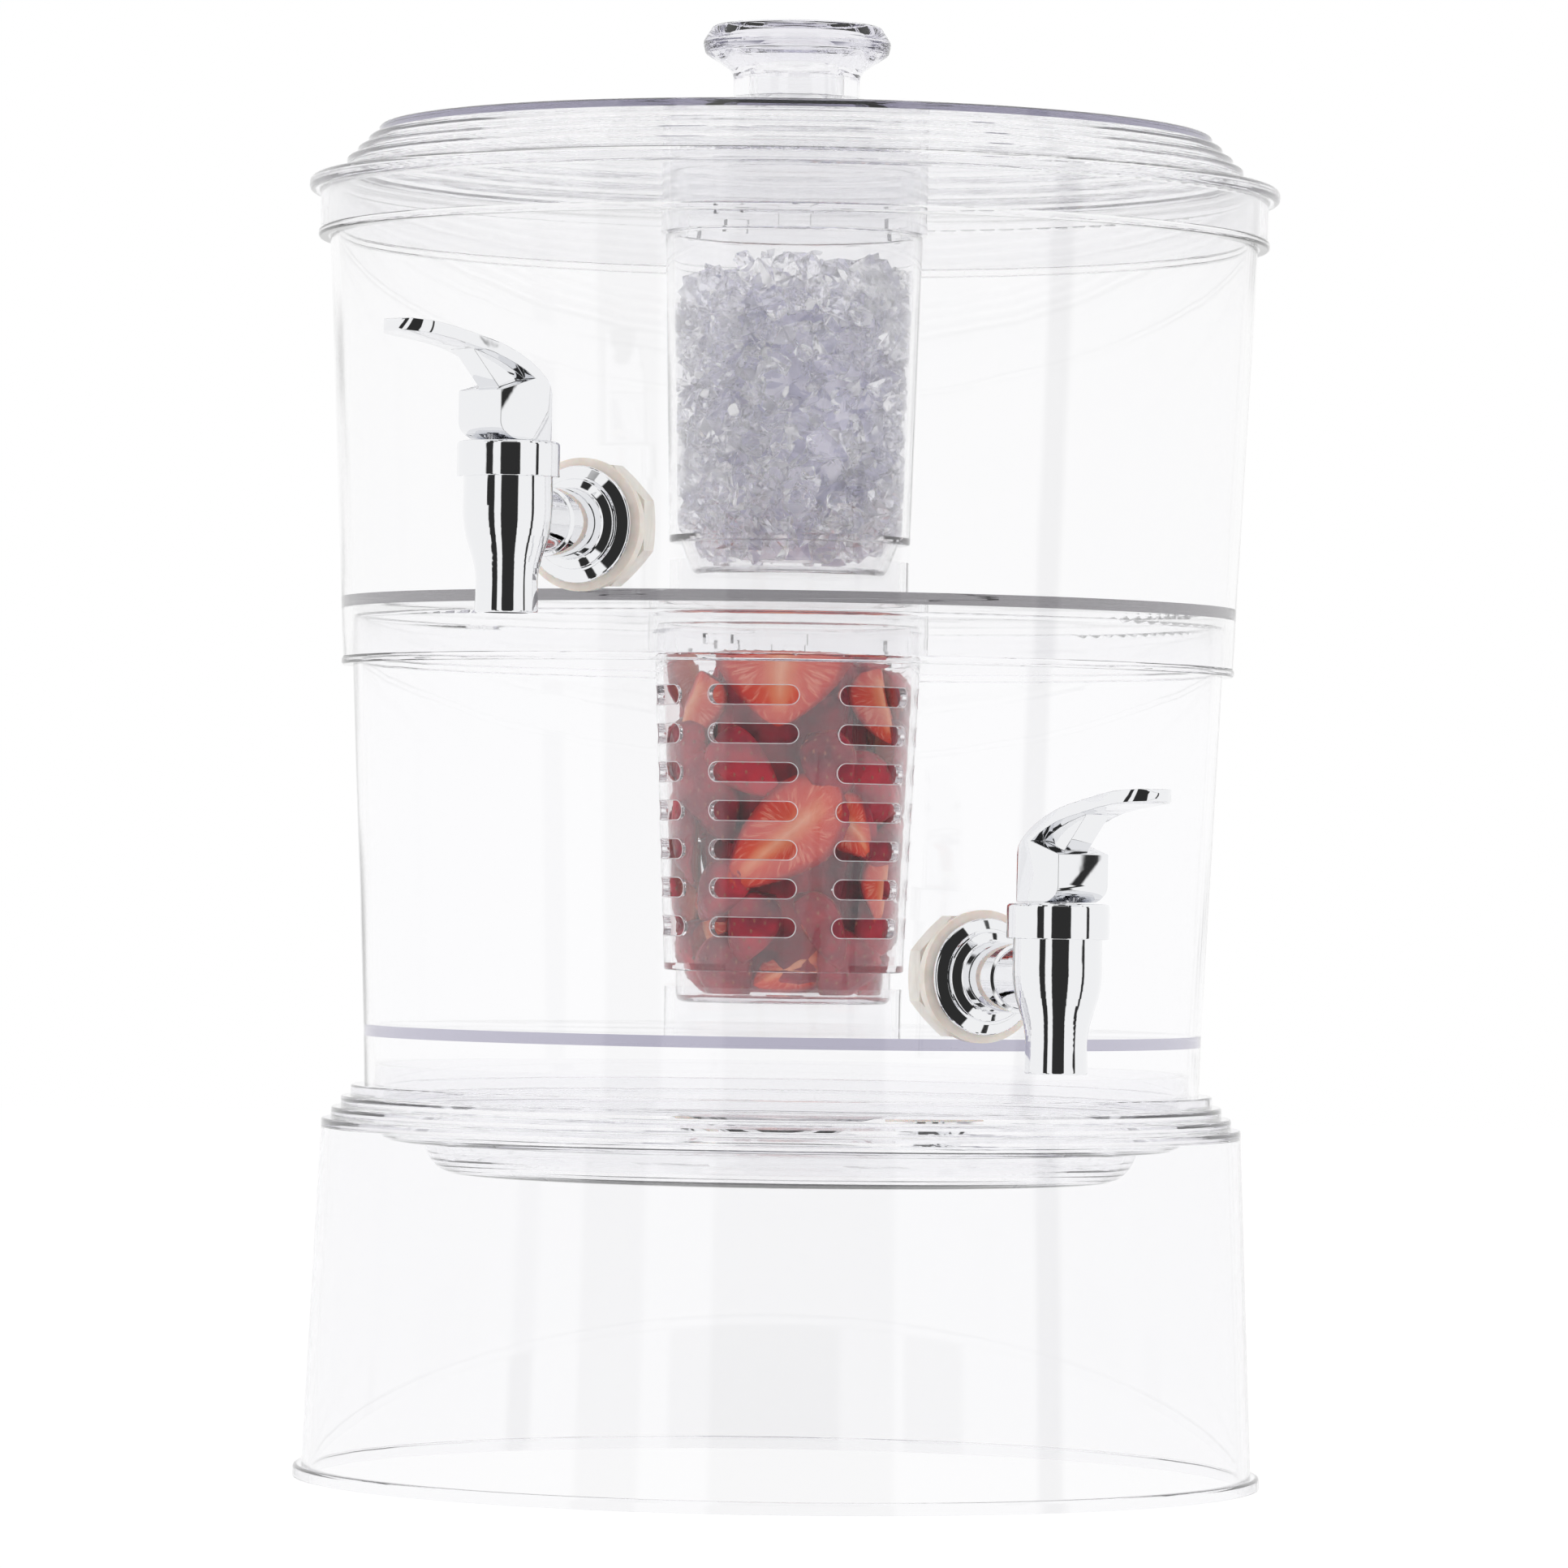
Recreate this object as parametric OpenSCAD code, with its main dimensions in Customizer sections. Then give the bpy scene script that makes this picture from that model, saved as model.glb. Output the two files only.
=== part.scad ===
// Stackable two-tier drink dispenser in clear moulded plastic.
// A pedestal base carries the lower tank, the upper tank stands on the lower one,
// and a lid with an ice core closes the stack. Each tank has a plated lever tap.
// The origin is the centre of the base's underside, and the front faces -Y.

/* [Base] */
// How far the base's shoulder stands out of the foot of the tank on it
base_shoulder_out = 13.6; // [13:0.1:20]
// How much wider the base is at the floor than at its shoulder
base_flare = 4.8; // [1:0.1:10]
// Height at which the stepped shoulder starts
base_shoulder_z = 110.5; // [90:0.1:130]
// Wall thickness of the base
base_wall = 3; // [2.4:0.1:3.4]
// How far the bottom flange stands out of the base wall
base_flange_out = 2.6; // [1:0.1:4]
// Height of the bottom flange
base_flange_h = 3.8; // [2:0.1:6]
// Radius of the bottom flange's upper edge
base_flange_round = 1.2; // [0.4:0.1:1.6]
// Height of the rim that centres the tank's foot
base_rim_h = 6.7; // [4:0.1:10]
// Width of the inner ledge round the recess in the base's top
ledge_w = 15.1; // [8:0.1:30]
// How much narrower the recess is at its floor
recess_slope = 3.5; // [1:0.1:6]
// Depth of the recess below the inner ledge
recess_depth = 10.2; // [6:0.1:14]
// Depth of the inner ledge below the tank's seat
inner_ledge_depth = 14.7; // [10:0.1:18]

/* [Stepped shoulders] */
// Number of steps in each shoulder
steps = 4; // [2:1:5]
// Rise of one step on the base
base_step_rise = 3.55; // [3:0.05:4]
// Run of one step on the base
base_step_run = 3.1; // [2.6:0.05:3.2]
// Rise of one step on the lid
lid_step_rise = 3.4; // [3:0.05:4]
// Run of one step on the lid
lid_step_run = 3.4; // [2.8:0.05:3.8]
// Radius of each step's edge
step_round = 0.7; // [0.3:0.1:1]

/* [Lower tank] */
// Outer radius of the lower tank's foot
lower_foot_r = 133.4; // [115:0.1:150]
// How much wider the lower tank is at its floor than at its foot
lower_foot_flare = 0.5; // [0:0.1:1]
// How much wider the lower tank is at its lip than at its floor
lower_flare = 5.2; // [2:0.1:9]
// Height of the foot below the top of the floor
lower_foot_h = 19.3; // [14:0.1:26]
// Height of the lower tank from the top of its floor to the top of its lip
lower_body_h = 117; // [100:1:140]

/* [Upper tank] */
// How much wider the upper tank is at its floor than at its skirt
upper_skirt_flare = 0.8; // [0:0.1:1]
// How much wider the upper tank is at its lip than at its floor
upper_flare = 5.3; // [2:0.1:9]
// Height of the upper tank from the top of its floor to the top of its lip
upper_body_h = 117.3; // [100:1:140]

/* [Tank details] */
// Wall thickness of both tanks
tank_wall = 2.8; // [2.2:0.1:3.4]
// Thickness of both tank floors
floor_t = 3.6; // [2.6:0.1:4.6]
// Height of the rim above a tank's lip
rim_h = 13.35; // [9:0.05:14]
// Gap between the lower tank's rim and the floor above it
rim_clear = 2.25; // [1:0.05:6]
// Thickness of a tank's lip
lip_t = 2.5; // [1.8:0.1:3.5]
// How far a lip stands out of its tank's wall
lip_out = 3.65; // [3:0.05:5]
// Radial gap between a rim or foot and what it fits
stack_gap = 0.5; // [0.3:0.05:0.8]
// Height of the rings on the tank floors that centre the tubes
floor_ring_h = 13.4; // [8:0.1:15]
// Wall thickness of the floor rings
floor_ring_wall = 2.8; // [2:0.1:3.2]
// How far a floor ring stands in from the end of the tube above it
floor_ring_inset = 0.25; // [0:0.05:0.6]

/* [Lid] */
// Wall thickness of the lid
lid_wall = 2.5; // [2:0.1:3]
// Gap between the upper tank's rim and the outer end of the lid's roof
lid_top_gap = 0.55; // [0.3:0.05:3]
// How far the roof's outer end lies below the flange's upper face
lid_roof_drop = 0.4; // [0.2:0.1:1]
// Thickness of the lid's flange
lid_flange_t = 4.5; // [3.5:0.1:5]
// How far the lid's flange stands out of its skirt
lid_flange_out = 3.8; // [2.5:0.1:5]
// Rise of the lid's flange to the first step
lid_flange_rise = 2.7; // [2:0.1:4]
// How far the lid's first step stands in from the tank's wall
lid_step_inset = 5; // [3:0.1:8]
// Rise of the lid's crown from the last step to the knob's collar
crown_rise = 8; // [4:0.1:10]
// Width of the slope beside the knob's collar
crown_run = 14; // [8:0.5:20]
// Radius of the hollow curve where that slope starts
crown_round = 26; // [10:1:30]
// Outer radius of the collar that carries the knob
collar_r = 22.8; // [21.5:0.1:25]
// Height of that collar
collar_h = 3.2; // [2:0.1:5]

/* [Knob] */
// Radius of the knob's neck
knob_neck_r = 20.2; // [18.5:0.1:21]
// Largest radius of the knob's head
knob_head_r = 30.2; // [27:0.1:34]
// Height of the whole knob
knob_h = 23.2; // [20:0.1:28]
// Height of the neck below the head's curve
knob_neck_h = 8.4; // [6:0.1:10]
// Height at which the head is widest
knob_wide_h = 18; // [16:0.1:19]
// Radius of the dish in the knob's top
dish_r = 20.8; // [16:0.1:23]
// Depth of that dish
dish_depth = 1.6; // [0.5:0.1:3]
// Thickness of the head above the bore
knob_top_t = 9; // [6:0.1:12]
// Radius of the knob's bore
knob_bore_r = 15.5; // [13:0.1:16.5]
// Height of the lid's spigot inside the knob
spigot_h = 8; // [5:0.5:10]
// Radial gap between the spigot and the knob's bore
spigot_gap = 0.3; // [0.1:0.05:0.5]

/* [Tubes] */
// Wall thickness of the ice core, the infuser and their sockets
tube_wall = 2.4; // [1.8:0.1:2.8]
// Outer radius of the lid's socket for the ice core
core_socket_r = 42.6; // [40:0.1:46]
// Depth of that socket below the lid's flange
core_socket_drop = 11.3; // [8:0.1:13]
// How far the top of the ice core's wall stands in from its socket's
core_step_in = 1.4; // [0.5:0.1:2.2]
// How much narrower the ice core's wall is at its lower end
core_taper = 2.7; // [1:0.1:6]
// Gap between the ice core's wall and the floor ring below it
core_floor_gap = 5.6; // [4:0.1:20]
// Outer radius of the socket for the infuser
infuser_socket_r = 44.8; // [42:0.1:48]
// Depth of that socket below the tank floor
infuser_socket_h = 14.3; // [12:0.1:15]
// How far the top of the infuser's wall stands in from its socket's
infuser_step_in = 2.3; // [0.5:0.1:2.8]
// How much narrower the infuser's wall is at its lower end
infuser_taper = 4.3; // [1:0.1:6]
// Gap between the infuser's wall and the floor ring below it
infuser_floor_gap = 5.2; // [4:0.1:20]
// Height of the ice core's neck above its wall
core_neck_h = 19.3; // [14:0.1:24]
// Gap between the infuser's neck and the tank floor above it
infuser_neck_gap = 3.4; // [2:0.1:4]
// Radial gap between a tube's neck and its socket
socket_gap = 0.5; // [0.3:0.05:0.8]
// Radial gap between the infuser's foot and its floor ring
foot_gap = 0.8; // [0.5:0.1:2]
// Depth of a tube's foot below its tapered wall
foot_h = 10; // [6:0.1:11]
// Taper of the ice core's foot
core_foot_taper = 4; // [2:0.5:8]

/* [Twist locks] */
// Number of lugs on each tube's neck
lugs = 3; // [2:1:4]
// Angle that a tube turns from locked to free
twist = 30; // [20:1:40]
// Angle that one lug covers
lug_angle = 12; // [8:1:16]
// Height of a lug
lug_h = 2.8; // [2:0.1:3.2]
// Clearance above, below and beside a lug
lug_gap = 0.3; // [0.2:0.05:0.5]
// Height of a lug's lower face above the socket's edge
lug_rise = 4; // [3:0.1:6]
// How far a lug reaches into its slot
lug_reach = 1.9; // [1:0.1:2.2]

/* [Ice and fruit] */
// Gap between a tube's wall and what fills the tube
fill_gap = 0.4; // [0.3:0.1:1]
// How far the ice stays below the ice core's socket
ice_drop = 6; // [4:0.5:40]
// Longest edge of a lump of ice
lump_size = 16; // [10:0.5:18]
// Number of lumps in one ring
lumps_round = 10; // [7:1:13]
// Depth of single lumps round the ice's solid heart
lump_depth = 9; // [5:0.5:10]
// How far the fruit reaches into the infuser's neck
fruit_rise = 2; // [0:0.5:6]
// Largest radius of a berry
berry_r = 10.5; // [8:0.5:12]
// Length of a berry from its widest place to its tip
berry_l = 14; // [11:0.5:16]
// Radius of a berry's tip
berry_tip_r = 2.5; // [1:0.1:4]
// Largest tilt of a berry out of the level
berry_tilt = 25; // [5:1:30]
// Number of berries in one ring
berries_round = 6; // [4:1:8]
// Depth of single berries round the fruit's solid heart
berry_depth = 13.5; // [6:0.5:14]

/* [Infuser slots] */
// Number of slots in one ring
slot_columns = 6; // [4:1:8]
// Least height of plain wall below the slots
slot_foot = 8; // [4:0.1:14]
// Height of one slot
slot_h = 6.3; // [4:0.1:7.5]
// Distance between rings of slots
slot_pitch = 12.25; // [8.5:0.05:13]
// Angle that one slot covers
slot_angle = 42; // [30:1:44]
// Distance of the first ring's middle below the socket
slot_top = 12; // [8:0.1:13]
// Direction of the slot nearest the front
slot_turn = -105.8; // [-150:0.1:-60]

/* [Tap places] */
// Angle of the upper tap from the front, towards -X
upper_tap_angle = 26; // [10:0.1:60]
// Angle of the lower tap from the front, towards +X
lower_tap_angle = 26.6; // [10:0.1:60]
// Clearance of the taps' lock nuts above their tank floors
nut_clear = 0.82; // [0.5:0.01:12]
// How far the upper handle is swung outwards from its tap
upper_handle_swing = 20; // [-40:1:40]
// How far the lower handle is swung outwards from its tap
lower_handle_swing = 9.5; // [-40:0.5:40]

/* [Tap body] */
// Distance from the tank wall to the spout's axis
spout_reach = 49.4; // [44:0.1:60]
// Radius of the tap's flange
flange_r = 18; // [16:0.1:19]
// Height of the flange's upright edge
flange_edge_h = 2.2; // [1:0.1:3]
// Height of the whole flange
flange_h = 4.2; // [3.4:0.1:6]
// Radius of the collar where the arm leaves the flange
arm_collar_r = 13.9; // [12.5:0.1:14.4]
// Height of that collar
arm_collar_h = 1; // [0.5:0.1:2]
// How much thinner the arm is beyond its middle
arm_step = 0.9; // [0.3:0.1:1.5]
// Radius of the outer gasket
gasket_r = 20.4; // [19.5:0.1:21]
// Thickness of the outer gasket at its middle
gasket_t = 2; // [1:0.1:4]
// Radius of the inner gasket
inner_gasket_r = 14; // [11:0.1:16]
// Thickness of the inner gasket at its middle
inner_gasket_t = 2.5; // [2:0.1:4]
// Clearance of both gaskets at the tank wall
gasket_gap = 0.05; // [0.02:0.01:0.1]
// Radius of the arm between flange and spout
arm_r = 10.75; // [10.2:0.05:12]
// Radius of the threaded shank
shank_r = 7.8; // [6.5:0.1:8.5]
// Radial gap around the shank in the tank wall
shank_gap = 0.4; // [0.2:0.1:1]
// Radial gap between the shank's thread and what is screwed or pushed onto it
thread_gap = 0.1; // [0.05:0.01:0.2]
// Radius of the water way through the shank
waterway_r = 4.8; // [3:0.1:5]
// Radius across the corners of the lock nut
nut_r = 20; // [16:0.1:20]
// Thickness of the lock nut
nut_t = 8; // [5:0.1:10]
// How far the lock nut's corners are bevelled
nut_bevel = 2; // [0.5:0.1:4]
// Length of shank past the lock nut
shank_end = 2.7; // [1:0.1:6]

/* [Spout and valve] */
// Drop of the spout's outlet below the tap's axis
spout_drop = 28.5; // [24:0.1:36]
// Outer radius of the spout at its outlet
outlet_r = 9.6; // [9:0.1:11]
// Radius of the spout's waist above the outlet
waist_r = 9.2; // [8.6:0.1:10.4]
// Drop of the spout's waist below the tap's axis
waist_drop = 16; // [12:0.1:20]
// Radius of the curve through the waist
waist_round = 26; // [10:1:30]
// Wall thickness at the outlet
outlet_wall = 3; // [2:0.1:3.4]
// Largest radius of the spout's bulge
bulge_r = 13.6; // [13:0.1:14.6]
// Radius of the curve round the bulge
bulge_round = 34; // [20:1:40]
// Radius of the valve chamber
chamber_r = 9.4; // [8.5:0.1:10]
// Drop of the bulge's widest part below the tap's axis
bulge_drop = 2.4; // [0:0.1:5]
// Rise of the conical valve seat for one step outwards
seat_slope = 1.05; // [0.8:0.05:1.3]
// Depth of the valve seat below the tap's axis
seat_drop = 9; // [7:0.1:10]
// Height of the bonnet's lower edge above the tap's axis
bonnet_z = 12.2; // [11:0.1:14]
// Height of the bonnet
bonnet_h = 10.7; // [9:0.1:13]
// Outer radius of the bonnet
bonnet_r = 15.5; // [15:0.1:17]
// Height of the threaded neck inside the bonnet
neck_h = 6.2; // [4:0.1:6.4]
// Radius of the neck inside the bonnet
neck_r = 12.2; // [11.6:0.1:12.6]
// Radius of the valve stem
stem_r = 2.5; // [2:0.1:3]
// Clearance of the stem in its holes
stem_gap = 0.08; // [0.05:0.01:0.1]
// Radial gap between the silicone seat cup and its chamber
cup_gap = 0.5; // [0.5:0.1:1]
// Radius of the cup's nose below the seat's cone
cup_nose_r = 6.8; // [6.7:0.1:7.5]
// Height of the cup's upright side
cup_side_h = 2; // [1:0.1:3]
// Thickness of the cup around and below the stem
cup_wall = 2.4; // [1.5:0.1:3]
// Height of the cup's upper end above the tap's axis
cup_top_z = 6.2; // [4:0.1:8]
// Height by which the closed cup clears the seat
seat_gap = 0.05; // [0.03:0.01:0.1]

/* [Handle] */
// Height of the handle's pivot above the bonnet
pivot_h = 8.6; // [7.5:0.1:10]
// Gap between the handle's foot and the bonnet
foot_clear = 0.25; // [0.15:0.05:0.4]
// Angle through which the handle is pressed
press_angle = 40; // [25:1:45]
// Lift of the stem over that angle
valve_lift = 3; // [2:0.1:3.5]
// Width of the handle's head
head_w = 19; // [17:0.1:20]
// Distance from the pivot to the handle's back
head_back = 10; // [9:0.1:11]
// Height of the front of the head above the pivot
head_front_h = 6.3; // [5:0.1:8]
// Height above the pivot at which the band over the back starts
band_foot = 3; // [1:0.1:6]
// Thickness of that band at its foot
band_t = 3; // [2:0.1:4]
// How steeply the band rises from its foot
back_rise = 10; // [7:0.1:13]
// How far the paddle's straight end reaches back
paddle_pull = 37; // [28:0.5:42]
// Slope of the paddle's end
paddle_tilt = 4; // [0:0.5:10]
// How far the neck's front stands in from the head's
rib_inset = 4.6; // [2:0.1:7]
// Width of the neck under the paddle
rib_w = 9; // [7:0.1:10]
// Reach of the paddle from the pivot
paddle_reach = 48; // [42:0.5:54]
// Height of the paddle's upper face above the pivot
paddle_h = 26; // [22:0.1:30]
// Thickness of the paddle
paddle_t = 4; // [3:0.1:5]
// Width of the paddle at its waist
paddle_waist = 16.5; // [13:0.1:18]
// How far the stem's eye is wider than the stem
eye_wall = 0.8; // [0.5:0.1:1]
// Width of the stem's eye along the pin
eye_w = 4.5; // [4:0.1:4.8]
// Radius of the pivot pin
pin_r = 1.5; // [1.2:0.1:1.6]
// Length of the pivot pin
pin_len = 13; // [10:0.1:13]
// Clearance of the handle on its pin
pin_gap = 0.08; // [0.05:0.01:0.1]
// Clearance of the pin where it is pressed into the stem
pin_press_gap = 0.02; // [0.01:0.01:0.04]
// Room beyond each end of the pin
pin_end_gap = 0.2; // [0.1:0.05:0.4]
// How much narrower the slot is through which the pin snaps in
pin_snap = 0.1; // [0.05:0.05:0.3]
// Clearance beside the stem in the handle's slot
slot_gap = 0.35; // [0.25:0.05:0.6]

/* [Hidden] */

CLEAR = [0.82, 0.86, 0.92, 0.45];
ICE_CLEAR = [0.78, 0.86, 0.95, 0.5];
ICE = [0.88, 0.92, 0.97];
BERRY = [0.75, 0.1, 0.08];
CHROME = [0.78, 0.79, 0.81];
SILICONE = [0.9, 0.86, 0.78];
NYLON = [0.93, 0.9, 0.84];
STEEL = [0.62, 0.63, 0.65];

// Facets of everything round, points of a small rounding, and a nudge for clean cuts
$fn = 96;
arc_points = 5;
nudge = 1;

// Radii of the stack, each from the piece below it
base_rim_r = lower_foot_r - tank_wall - stack_gap;
base_shoulder_r = lower_foot_r + base_shoulder_out;
base_foot_r = base_shoulder_r + base_flare;
well_r = base_rim_r - base_wall;
recess_r = well_r - ledge_w;
lower_floor_r = lower_foot_r + lower_foot_flare;
lower_top_r = lower_floor_r + lower_flare;
upper_skirt_r = lower_top_r + stack_gap + tank_wall;
upper_floor_r = upper_skirt_r + upper_skirt_flare;
upper_top_r = upper_floor_r + upper_flare;
lid_skirt_r = upper_top_r + stack_gap + lid_wall;
lid_step_r = upper_top_r - lid_step_inset;

// Heights of the stack, each from the piece below it
upper_skirt_h = rim_h + floor_t + rim_clear;
lid_skirt_h = rim_h + lid_top_gap + lid_wall + lid_roof_drop - lid_flange_t;
base_seat_z = base_shoulder_z + steps * base_step_rise;
lower_floor_z = base_seat_z + lower_foot_h;
lower_lip_z = lower_floor_z + lower_body_h;
upper_floor_z = lower_lip_z + upper_skirt_h;
upper_lip_z = upper_floor_z + upper_body_h;
lid_flange_z = upper_lip_z + lid_skirt_h;
lid_step_z = lid_flange_z + lid_flange_t + lid_flange_rise;
lid_crown_z = lid_step_z + steps * lid_step_rise;
knob_z = lid_crown_z + crown_rise + collar_h;

// Radii of the tubes and the rings that centre them, each from its socket
core_top_r = core_socket_r - core_step_in;
core_end_r = core_top_r - core_taper;
infuser_top_r = infuser_socket_r - infuser_step_in;
infuser_end_r = infuser_top_r - infuser_taper;
core_neck_r = core_socket_r - tube_wall - socket_gap;
infuser_neck_r = infuser_socket_r - tube_wall - socket_gap;
infuser_ring_r = infuser_end_r - floor_ring_inset;
core_ring_r = core_end_r - floor_ring_inset;
infuser_foot_r = infuser_ring_r - floor_ring_wall - foot_gap;
core_foot_r = core_ring_r - floor_ring_wall - foot_gap;

// Heights of the sockets and tubes
core_socket_z = lid_flange_z - core_socket_drop;
core_end_z = upper_floor_z + floor_ring_h + core_floor_gap;
infuser_socket_z = upper_floor_z - floor_t - infuser_socket_h;
infuser_end_z = lower_floor_z + floor_ring_h + infuser_floor_gap;
infuser_neck_h = infuser_socket_h - infuser_neck_gap;

// Edges of a lump of ice as shares of its longest edge, and its turns from one to the next
lump_form = [1, 0.85, 0.7];
lump_turns = [77, 131, 47];

// Sides of a berry, and its turn from one to the next
berry_sides = 10;
berry_turn = 97;

// As many rings of slots as the infuser's wall has room for
slot_room = infuser_socket_z - infuser_end_z - slot_top - slot_h / 2 - slot_foot;
slot_rows = floor(slot_room / slot_pitch) + 1;

// Places of the taps
nut_sides = 8;
tap_rise = nut_r * cos(180 / nut_sides) + nut_clear;
upper_tap_z = upper_floor_z + tap_rise;
lower_tap_z = lower_floor_z + tap_rise;
upper_tap_dir = -90 - upper_tap_angle;
lower_tap_dir = -90 + lower_tap_angle;

// Inner faces of the tap's parts, measured outwards from the tank wall
nut_face = -tank_wall - inner_gasket_t;
shank_tip = nut_face - nut_t - shank_end;
bonnet_top = bonnet_z + bonnet_h;
pivot_z = bonnet_top + pivot_h;
outlet_bore_r = outlet_r - outlet_wall;
cup_r = chamber_r - cup_gap;
seat_h = (chamber_r - outlet_bore_r) * seat_slope;
foot_drop = pivot_h - foot_clear;
cam_rate = valve_lift / (press_angle * PI / 180);

// Profiles are lists of [radius, height, rounding]
function unit(v) = v / norm(v);
function flat(p) = [p[0], p[1]];
function left_of(a, b) = let (d = unit(b - a)) [-d[1], d[0]];

// Arc that replaces corner p between a and b
function corner(a, p, b, r) =
    r <= 0 ? [p] :
    let (u = unit(a - p), v = unit(b - p), half = acos(u * v) / 2,
         back = r / tan(half), c = p + unit(u + v) * r / sin(half),
         s = p + u * back - c, e = p + v * back - c,
         from = atan2(s[1], s[0]), turn = atan2(e[1], e[0]) - from,
         sweep = turn > 180 ? turn - 360 : (turn < -180 ? turn + 360 : turn))
    [for (i = [0 : arc_points])
        c + r * [cos(from + sweep * i / arc_points), sin(from + sweep * i / arc_points)]];

// Outline with its corners rounded, open at its two ends
function rounded(path) =
    [for (i = [0 : len(path) - 1])
        for (q = i == 0 || i == len(path) - 1 ? [flat(path[i])]
             : corner(flat(path[i - 1]), flat(path[i]), flat(path[i + 1]), path[i][2])) q];

// Point of the path moved inwards by t along the mitre of its two edges
function inset(path, i, t) =
    let (n = len(path) - 1,
         before = left_of(flat(path[max(i - 1, 0)]), flat(path[max(i, 1)])),
         after = left_of(flat(path[min(i, n - 1)]), flat(path[min(i + 1, n)])))
    flat(path[i]) + t * (before + after) / (1 + before * after);

// Rounding of the inner face at corner i: less inside a bend, more outside it
function inset_round(path, i, t) =
    let (n = len(path) - 1, a = flat(path[max(i - 1, 0)]), p = flat(path[i]),
         b = flat(path[min(i + 1, n)]), turn = cross(p - a, b - p))
    path[i][2] <= 0 ? 0 : (turn > 0 ? max(path[i][2] - t, 0) : path[i][2] + t);

// Closed wall of thickness t that lies to the left of a path
function wall_of(path, t) =
    concat(rounded(path),
           rounded([for (i = [len(path) - 1 : -1 : 0])
               concat(inset(path, i, t), [inset_round(path, i, t)])]));

// Noses and corners of a stepped shoulder, from the outside in
function stairs(r, z, run, rise) =
    [for (i = [0 : steps - 1])
        for (p = [[r - i * run, z + i * rise, i == 0 ? 0 : step_round / 2],
                  [r - i * run, z + (i + 1) * rise, step_round]]) p];

module revolve(points) {
    rotate_extrude() polygon(points);
}

module ring(outer_r, inner_r, z, h) {
    translate([0, 0, z])
        difference() {
            cylinder(r = outer_r, h = h);
            translate([0, 0, -nudge]) cylinder(r = inner_r, h = h + 2 * nudge);
        }
}

// Closed outline between a radius range and a height range, turned through an angle
module sector(inner_r, outer_r, z, h, from, angle) {
    rotate([0, 0, from])
        rotate_extrude(angle = angle)
            translate([inner_r, z]) square([outer_r - inner_r, h]);
}

// Places children on a tank wall with local +X pointing out of the tank
module on_wall(dir, wall_r, z) {
    rotate([0, 0, dir]) translate([wall_r, 0, z]) children();
}

// Turns a revolved shape so that its axis runs along local +X
module outwards() {
    rotate([0, 90, 0]) children();
}

/* Base */
module base() {
    ledge_z = base_seat_z - inner_ledge_depth;
    path = concat(
        [[base_foot_r, 0, 0]],
        stairs(base_shoulder_r, base_shoulder_z, base_step_run, base_step_rise),
        [[well_r, base_seat_z, 0], [well_r, ledge_z, 4],
         [recess_r, ledge_z, 3.5], [recess_r - recess_slope, ledge_z - recess_depth, 7],
         [0, ledge_z - recess_depth, 0]]);
    color(CLEAR) {
        revolve(wall_of(path, base_wall));
        ring(base_rim_r, well_r, base_seat_z - base_wall / 2, base_rim_h + base_wall / 2);
        revolve(rounded([[base_foot_r - base_wall, 0, 0],
                         [base_foot_r + base_flange_out, 0, 0],
                         [base_foot_r + base_flange_out, base_flange_h, base_flange_round],
                         [base_foot_r - base_wall, base_flange_h, 0]]));
    }
}

/* Tanks */
// Wall, floor, lip and rim that both tanks share
module tank_body(foot_r, foot_z, floor_r, floor_z, top_r, lip_z) {
    foot_path = [[foot_r, foot_z, 0], [floor_r, floor_z, 0], [top_r, lip_z, 0],
                 [top_r, lip_z + rim_h - tank_wall / 2, 0]];
    rim_z = lip_z + rim_h - tank_wall / 2;
    revolve(wall_of(foot_path, tank_wall));
    translate([0, 0, rim_z])
        rotate_extrude()
            translate([top_r - tank_wall / 2, 0]) circle(r = tank_wall / 2, $fn = 24);
    translate([0, 0, floor_z - floor_t]) cylinder(r = floor_r - tank_wall / 2, h = floor_t);
    revolve(rounded([[top_r - tank_wall / 2, lip_z - lip_t, 0],
                     [top_r + lip_out, lip_z - lip_t, 0.8],
                     [top_r + lip_out, lip_z, 0.8],
                     [top_r - tank_wall / 2, lip_z, 0]]));
}

// Hole for a tap's shank
module shank_hole(dir, wall_r, z) {
    on_wall(dir, wall_r, z) outwards()
        translate([0, 0, -4 * tank_wall]) cylinder(r = shank_r + shank_gap, h = 8 * tank_wall);
}

// Outer radius of a tank's wall at its tap
function lower_wall_r() = lower_floor_r
    + (lower_top_r - lower_floor_r) * tap_rise / lower_body_h;
function upper_wall_r() = upper_floor_r
    + (upper_top_r - upper_floor_r) * tap_rise / upper_body_h;

module lower_tank() {
    color(CLEAR) {
        difference() {
            tank_body(lower_foot_r, base_seat_z, lower_floor_r, lower_floor_z,
                      lower_top_r, lower_lip_z);
            shank_hole(lower_tap_dir, lower_wall_r(), lower_tap_z);
        }
        ring(infuser_ring_r, infuser_ring_r - floor_ring_wall,
             lower_floor_z - floor_t / 2, floor_ring_h + floor_t / 2);
    }
}

module upper_tank() {
    color(CLEAR) {
        difference() {
            tank_body(upper_skirt_r, lower_lip_z, upper_floor_r, upper_floor_z,
                      upper_top_r, upper_lip_z);
            shank_hole(upper_tap_dir, upper_wall_r(), upper_tap_z);
        }
        ring(core_ring_r, core_ring_r - floor_ring_wall,
             upper_floor_z - floor_t / 2, floor_ring_h + floor_t / 2);
        socket(infuser_socket_r, infuser_socket_z, infuser_socket_h + floor_t / 2);
    }
}

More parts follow.
